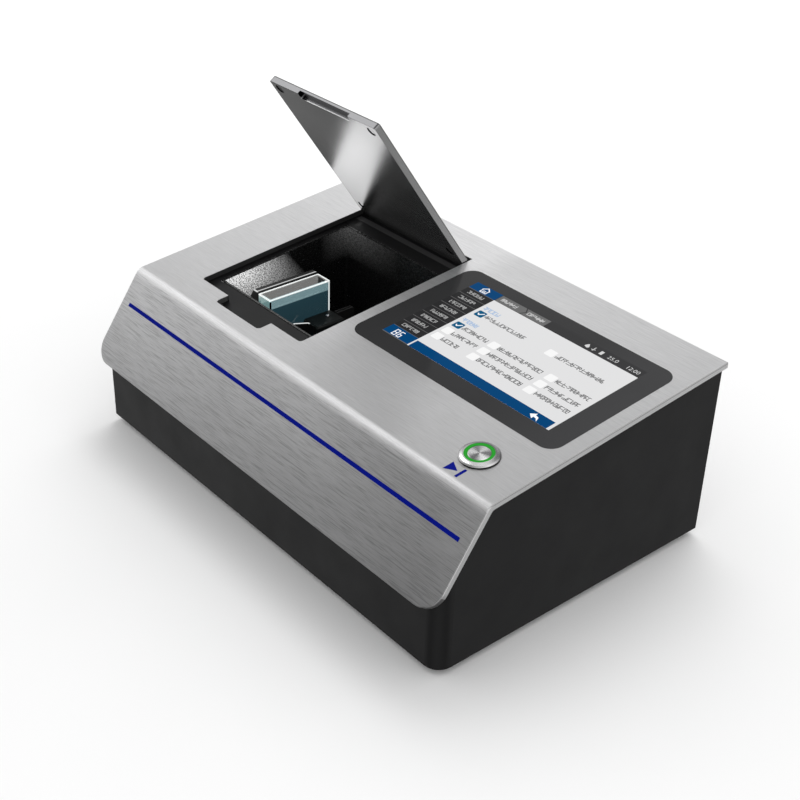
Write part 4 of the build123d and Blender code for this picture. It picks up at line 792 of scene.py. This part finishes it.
def greeked(x0, x1, a0, a1, dice):
    """A row of small made-up marks, as text looks when it is too small to read."""
    shapes = []
    height = a1 - a0
    wide = 0.92 * height
    x = x0
    while x < x1 - 0.5 * wide:
        cell = min(wide * dice.choice((0.62, 0.62, 1.0)), x1 - x)
        inner = cell - MARK_GAP
        kind = dice.randrange(4)
        if kind != 1:
            shapes.append(rect(x, x + MARK_LINE, a0, a1))
        if kind != 2:
            foot = a0 + height * dice.choice((0, 0.3))
            shapes.append(rect(x + inner - MARK_LINE, x + inner, foot, a1))
        for level in dice.sample((0.0, 0.28, 0.52, 0.86), 2):
            at = a0 + height * level
            shapes.append(rect(x, x + inner, at, at + MARK_LINE))
        x += cell
    return shapes


# The display's picture lies in thin layers on a glass face. Heights are above the cover, and
# places are x and the distance along the cover from the bend, all in mm.
GLASS, GLASS_THICK, GLASS_CORNER = 0.05, 0.04, 10.0
LAYER = 0.03


def screen(name, outlines, layer, look):
    piece(name, outlines, GLASS + LAYER * layer, on_top, look)


glass_outline = rounded(-14.2, 172.6, 57.4, 168.3, GLASS_CORNER, 10)
piece("glass_face", [glass_outline], GLASS, on_top, glass, GLASS_THICK)

# The picture's edges, the right edge of its left side, and the rear and front edges of its page
LEFT, RIGHT, FRONT, REAR = 2.9, 156.1, 72.0, 157.6
SIDE_RIGHT = 27.8
PAGE_REAR, PAGE_FRONT = 149.0, 80.2
screen("picture_ground", [rect(LEFT, RIGHT, FRONT, REAR)], 1, lit("picture_gap", (0.13, 0.13, 0.13)))
page_white = lit("picture_white", (0.70, 0.70, 0.705))
screen("picture_page", [rect(SIDE_RIGHT, RIGHT, FRONT, PAGE_REAR)], 2, page_white)

# Eight tiles down the left side
TILES = 8
TILES_REAR, TILES_FRONT = 148.7, 82.2
TILE_GAP = 0.2
tile_pitch = (TILES_REAR - TILES_FRONT) / TILES
tiles = []
for k in range(TILES):
    tile_front = TILES_FRONT + k * tile_pitch
    tiles.append(rect(LEFT, SIDE_RIGHT, tile_front + TILE_GAP, tile_front + tile_pitch - TILE_GAP))
screen("picture_tiles", tiles, 2, lit("picture_tile", (0.023, 0.023, 0.024)))

# A bar at the rear with two tabs: the first ends in a point, and the second has the notch for it
bar_grey = lit("picture_bar", (0.040, 0.040, 0.041))
screen("picture_bar_rear", [rect(SIDE_RIGHT, RIGHT, PAGE_REAR, REAR)], 2, bar_grey)
TAB_FRONT, TAB_POINT, TAB_REAR = PAGE_REAR + 0.3, 153.3, REAR - 0.4
first_tab = [
    (SIDE_RIGHT + 0.5, TAB_FRONT), (51.0, TAB_FRONT), (53.6, TAB_POINT), (51.0, TAB_REAR),
    (SIDE_RIGHT + 0.5, TAB_REAR),
]
second_tab = [(52.0, TAB_FRONT), (73.6, TAB_FRONT), (73.6, TAB_REAR), (52.0, TAB_REAR), (54.6, TAB_POINT)]
screen("picture_tabs", [first_tab, second_tab], 3, lit("picture_tab", (0.14, 0.14, 0.14)))

blue_parts = [
    rect(LEFT, SIDE_RIGHT, TILES_REAR + 0.2, REAR),
    rect(LEFT, SIDE_RIGHT, FRONT + 0.6, TILES_FRONT - 0.2),
    rect(29.2, 153.8, FRONT, PAGE_FRONT),
]
screen("picture_blue", blue_parts, 3, lit("picture_blue", (0.0, 0.052, 0.168)))

dice = random.Random(7)
labels = []
for k in range(TILES):
    middle = TILES_REAR - (k + 0.5) * tile_pitch
    labels += greeked(7.2, 22.6, middle - 1.6, middle + 1.7, dice)
screen("picture_tile_labels", labels, 3, lit("picture_text_grey", (0.42, 0.42, 0.42)))
pale_text = lit("picture_text_pale", (0.62, 0.62, 0.62))
tab_labels = greeked(31.0, 46.0, 151.6, 154.9, dice) + greeked(55.6, 70.8, 151.6, 154.9, dice)
screen("picture_tab_labels", tab_labels, 4, pale_text)
headings = greeked(30.2, 45.0, 135.8, 139.7, dice) + greeked(30.2, 45.0, 116.4, 120.3, dice)
screen("picture_headings", headings, 3, lit("picture_text_blue", (0.27, 0.42, 0.66)))

# Boxes to tick in one row at the rear and three rows of three, each with a line of marks
REAR_ROW, ROWS = 130.6, (111.1, 101.9, 92.9)
COLUMNS = (34.0, 67.9, 119.0)
BOX_X, BOX_A, BOX_CORNER = 3.6, 3.4, 1.0
ticked = [(34.2, REAR_ROW), (COLUMNS[0], ROWS[0])]
not_ticked = [(99.6, REAR_ROW)]
not_ticked += [(x, a) for a in ROWS for x in COLUMNS if (x, a) not in ticked]


def tick_boxes(places):
    return [rounded(x - BOX_X, x + BOX_X, a - BOX_A, a + BOX_A, BOX_CORNER) for x, a in places]


bright = lit("picture_bright", (0.9, 0.92, 0.95))
screen("picture_ticked", tick_boxes(ticked), 3, lit("picture_teal", (0.0, 0.09, 0.20)))
screen("picture_open", tick_boxes(not_ticked), 3, lit("picture_box", (0.86, 0.86, 0.86)))
ticks = []
for x, a in ticked:
    ticks.append(stroke((x - 2.0, a + 0.2), (x - 0.5, a - 1.4), 0.9))
    ticks.append(stroke((x - 0.7, a - 1.5), (x + 2.4, a + 1.8), 0.9))
screen("picture_ticks", ticks, 4, bright)

LINE_STARTS = (38.4, 72.2, 123.7)
LINE_ENDS = ((62.0, 112.4, 152.8), (61.8, 112.0, 152.0), (53.8, 112.6, 153.0))
lines = [(38.4, 77.5, REAR_ROW), (104.2, 146.6, REAR_ROW)]
for a, ends in zip(ROWS, LINE_ENDS):
    lines += [(start, end, a) for start, end in zip(LINE_STARTS, ends)]
marks = []
for start, end, a in lines:
    marks += greeked(start, end, a - 1.9, a + 1.9, dice)
screen("picture_lines", marks, 3, lit("picture_text_dark", (0.020, 0.020, 0.022)))

# A small house at the rear end of the left side, and two square figures at its front end
house = [
    [(11.2, 153.6), (15.0, 157.0), (18.8, 153.6), (17.6, 153.6), (15.0, 155.9), (12.4, 153.6)],
    rect(12.0, 12.7, 150.2, 153.6),
    rect(17.3, 18.0, 150.2, 153.6),
    rect(12.0, 18.0, 149.8, 150.5),
    rect(13.6, 16.4, 150.9, 151.5),
    rect(13.6, 16.4, 152.1, 152.7),
]
figures = [
    rect(9.8, 10.5, 73.2, 80.0),
    rect(9.8, 13.4, 79.3, 80.0),
    rect(9.8, 13.4, 76.2, 76.9),
    rect(9.8, 13.4, 73.2, 73.9),
    rect(12.7, 13.4, 73.2, 80.0),
    rect(14.6, 17.6, 73.2, 73.9),
    rect(14.6, 17.6, 79.3, 80.0),
    rect(14.6, 15.3, 73.2, 80.0),
    rect(16.9, 17.6, 73.2, 76.4),
    rect(15.6, 17.6, 76.2, 76.9),
]
screen("picture_icons", house + figures, 4, bright)
arrow = [
    (136.6, 75.9), (140.4, 79.0), (140.4, 77.2), (143.4, 76.4),
    (144.9, 72.6), (142.6, 74.8), (140.4, 75.1), (140.4, 73.0),
]
screen("picture_arrow", [arrow], 4, bright)

# A drop, a small branched sign and a bar towards the right of the rear bar, then two plain numbers
status = [
    [
        (109.4, 151.6), (110.8, 151.2), (111.7, 152.2), (111.2, 153.6),
        (109.6, 155.6), (108.4, 153.6), (108.0, 152.2),
    ],
    stroke((115.4, 151.2), (115.4, 155.4), 0.5),
    stroke((113.9, 152.4), (115.4, 151.9), 0.5),
    stroke((116.9, 153.0), (115.4, 152.3), 0.5),
    rect(120.6, 123.0, 151.4, 155.2),
]
screen("picture_status", status, 3, pale_text)

# A digit's height in mm, and its share of the font's size
DIGIT_HEIGHT, DIGIT_SHARE = 3.4, 0.72


def numbers(name, text, x0, a0, layer, look):
    """Plain digits, from Blender's own font, turned into a flat mesh on the screen."""
    curve = bpy.data.curves.new(name + "_curve", "FONT")
    curve.body = text
    curve.size = DIGIT_HEIGHT / DIGIT_SHARE
    curve.space_character = 1.05
    source = bpy.data.objects.new(name + "_source", curve)
    bpy.context.scene.collection.objects.link(source)
    data = bpy.data.meshes.new_from_object(source)
    bpy.data.objects.remove(source)
    bpy.data.curves.remove(curve)
    data.name = name
    for vertex in data.vertices:
        vertex.co = on_top(x0 + vertex.co.x, a0 + vertex.co.y, GLASS + LAYER * layer)
    settle(bpy.data.objects.new(name, data), look)


numbers("picture_warmth", "25.0", 127.6, 151.5, 3, pale_text)
numbers("picture_clock", "12:00", 143.0, 151.5, 3, pale_text)

# Print on the cover: the line across the front and a start sign by the button
PRINT = 0.04
print_blue = ink("print_blue", (0.001, 0.006, 0.20))
piece("front_line", [rect(-174.6, 175.4, 43.9, 46.6)], PRINT, on_front, print_blue)
start_sign = [[(139.6, 3.6), (139.6, 12.2), (147.6, 7.9)], rect(149.4, 151.4, 3.6, 12.2)]
piece("start_sign", start_sign, PRINT, on_top, print_blue)

# Grey seal strip on the rear ledge, just under the closed lid
STRIP_LEVEL, STRIP_THICK = -4.96, 0.08
strip_grey = moulded("strip_grey", (0.045, 0.045, 0.046), 0.5, 1400.0, 0.02)
strip = rect(-136.9, -24.2, 162.0, 167.0)
piece("hinge_strip", [strip], STRIP_LEVEL, on_top, strip_grey, STRIP_THICK)

# ---------------------------------------------------------------- floor and light
FLOOR_REACH = 6.0
floor_mesh = bpy.data.meshes.new("floor")
floor_corners = [(x * FLOOR_REACH, y * FLOOR_REACH, 0) for x, y in ((-1, -1), (1, -1), (1, 1), (-1, 1))]
floor_mesh.from_pydata(floor_corners, [], [(0, 1, 2, 3)])
floor = bpy.data.objects.new("floor", floor_mesh)
bpy.context.scene.collection.objects.link(floor)
floor_look = Look("floor_white", Roughness=0.9)
floor_tone = floor_look.noise((8, 8, 8), detail=2.0)
floor_look.put("Base Color", floor_look.mix(floor_tone, (0.90, 0.90, 0.90), (0.92, 0.92, 0.92)))
floor_look.put("Specular IOR Level", 0.0)
floor_mesh.materials.append(floor_look.mat)
floor.visible_glossy = False

world = bpy.data.worlds.new("studio")
bpy.context.scene.world = world
world.use_nodes = True
sky = world.node_tree
direction = sky.nodes.new("ShaderNodeTexCoord").outputs["Generated"]


def lobe(axis, edge, core, strength):
    """A soft patch of light round a direction, full within core and gone at edge, in degrees."""
    cosine = sky.nodes.new("ShaderNodeVectorMath")
    cosine.operation = "DOT_PRODUCT"
    sky.links.new(direction, cosine.inputs[0])
    cosine.inputs[1].default_value = Vector(axis).normalized()
    ramp = sky.nodes.new("ShaderNodeMapRange")
    ramp.interpolation_type = "SMOOTHSTEP"
    ramp.inputs["From Min"].default_value = math.cos(math.radians(edge))
    ramp.inputs["From Max"].default_value = math.cos(math.radians(core))
    ramp.inputs["To Max"].default_value = strength
    sky.links.new(cosine.outputs["Value"], ramp.inputs["Value"])
    return ramp.outputs["Result"]


def added(first, second):
    """The sum of a socket and a socket or number."""
    node = sky.nodes.new("ShaderNodeMath")
    sky.links.new(first, node.inputs[0])
    if isinstance(second, float):
        node.inputs[1].default_value = second
    else:
        sky.links.new(second, node.inputs[1])
    return node.outputs["Value"]


# Glossy rays see these soft patches, each given as (direction, edge, core, strength), over a dim
# room. All other rays see an even pale room.
DIM_ROOM, PALE_ROOM = 0.09, 0.90
patches = [
    ((-0.62, 0.76, 0.26), 40, 8, 0.98),  # behind on the left, the large panel
    ((-0.68, -0.06, 0.72), 23, 9, 2.2),  # high on the left, for the highlight of the bend
    ((-0.97, -0.22, 0.18), 40, 8, 0.46),  # left
    ((-0.72, -0.62, -0.32), 36, 10, 0.5),  # low, front left
    ((0.75, 0.62, -0.25), 42, 10, 0.45),  # low, rear right
    ((0.58, -0.65, -0.48), 40, 10, 0.36),  # low, front right
    ((0.62, 0.50, 0.60), 42, 12, 0.8),  # high, rear right
    ((0.30, 0.05, 0.95), 38, 10, 0.75),  # overhead
    ((0.92, -0.05, 0.38), 34, 10, 0.3),  # right
    ((0.60, -0.66, 0.45), 34, 10, 0.45),  # front right
]
light = lobe((0.0, 0.0, 1.0), 180, 0, 0.06)  # the room grows slightly paler towards its ceiling
for patch in patches:
    light = added(light, lobe(*patch))
light = added(light, DIM_ROOM)
level = sky.nodes.new("ShaderNodeMix")
level.inputs["A"].default_value = PALE_ROOM
sky.links.new(sky.nodes.new("ShaderNodeLightPath").outputs["Is Glossy Ray"], level.inputs["Factor"])
sky.links.new(light, level.inputs["B"])
background = sky.nodes["Background"]
background.inputs["Color"].default_value = (1.0, 1.0, 1.0, 1.0)
sky.links.new(level.outputs["Result"], background.inputs["Strength"])

# One large soft lamp, high behind on the left, with its side in metres and its power in watts
KEY_AT, KEY_TARGET = Vector((-0.8, 1.5, 2.8)), Vector((0, 0, 0.1))
KEY_SIDE, KEY_POWER = 2.2, 34.0
lamp = bpy.data.lights.new("key", "AREA")
lamp.shape = "RECTANGLE"
lamp.size = lamp.size_y = KEY_SIDE
lamp.energy = KEY_POWER
key = bpy.data.objects.new("key", lamp)
bpy.context.scene.collection.objects.link(key)
key.location = KEY_AT
key.rotation_euler = (KEY_TARGET - KEY_AT).to_track_quat("-Z", "Y").to_euler()
key.visible_glossy = False

view = bpy.context.scene.view_settings
view.view_transform = "Standard"
view.look = "None"
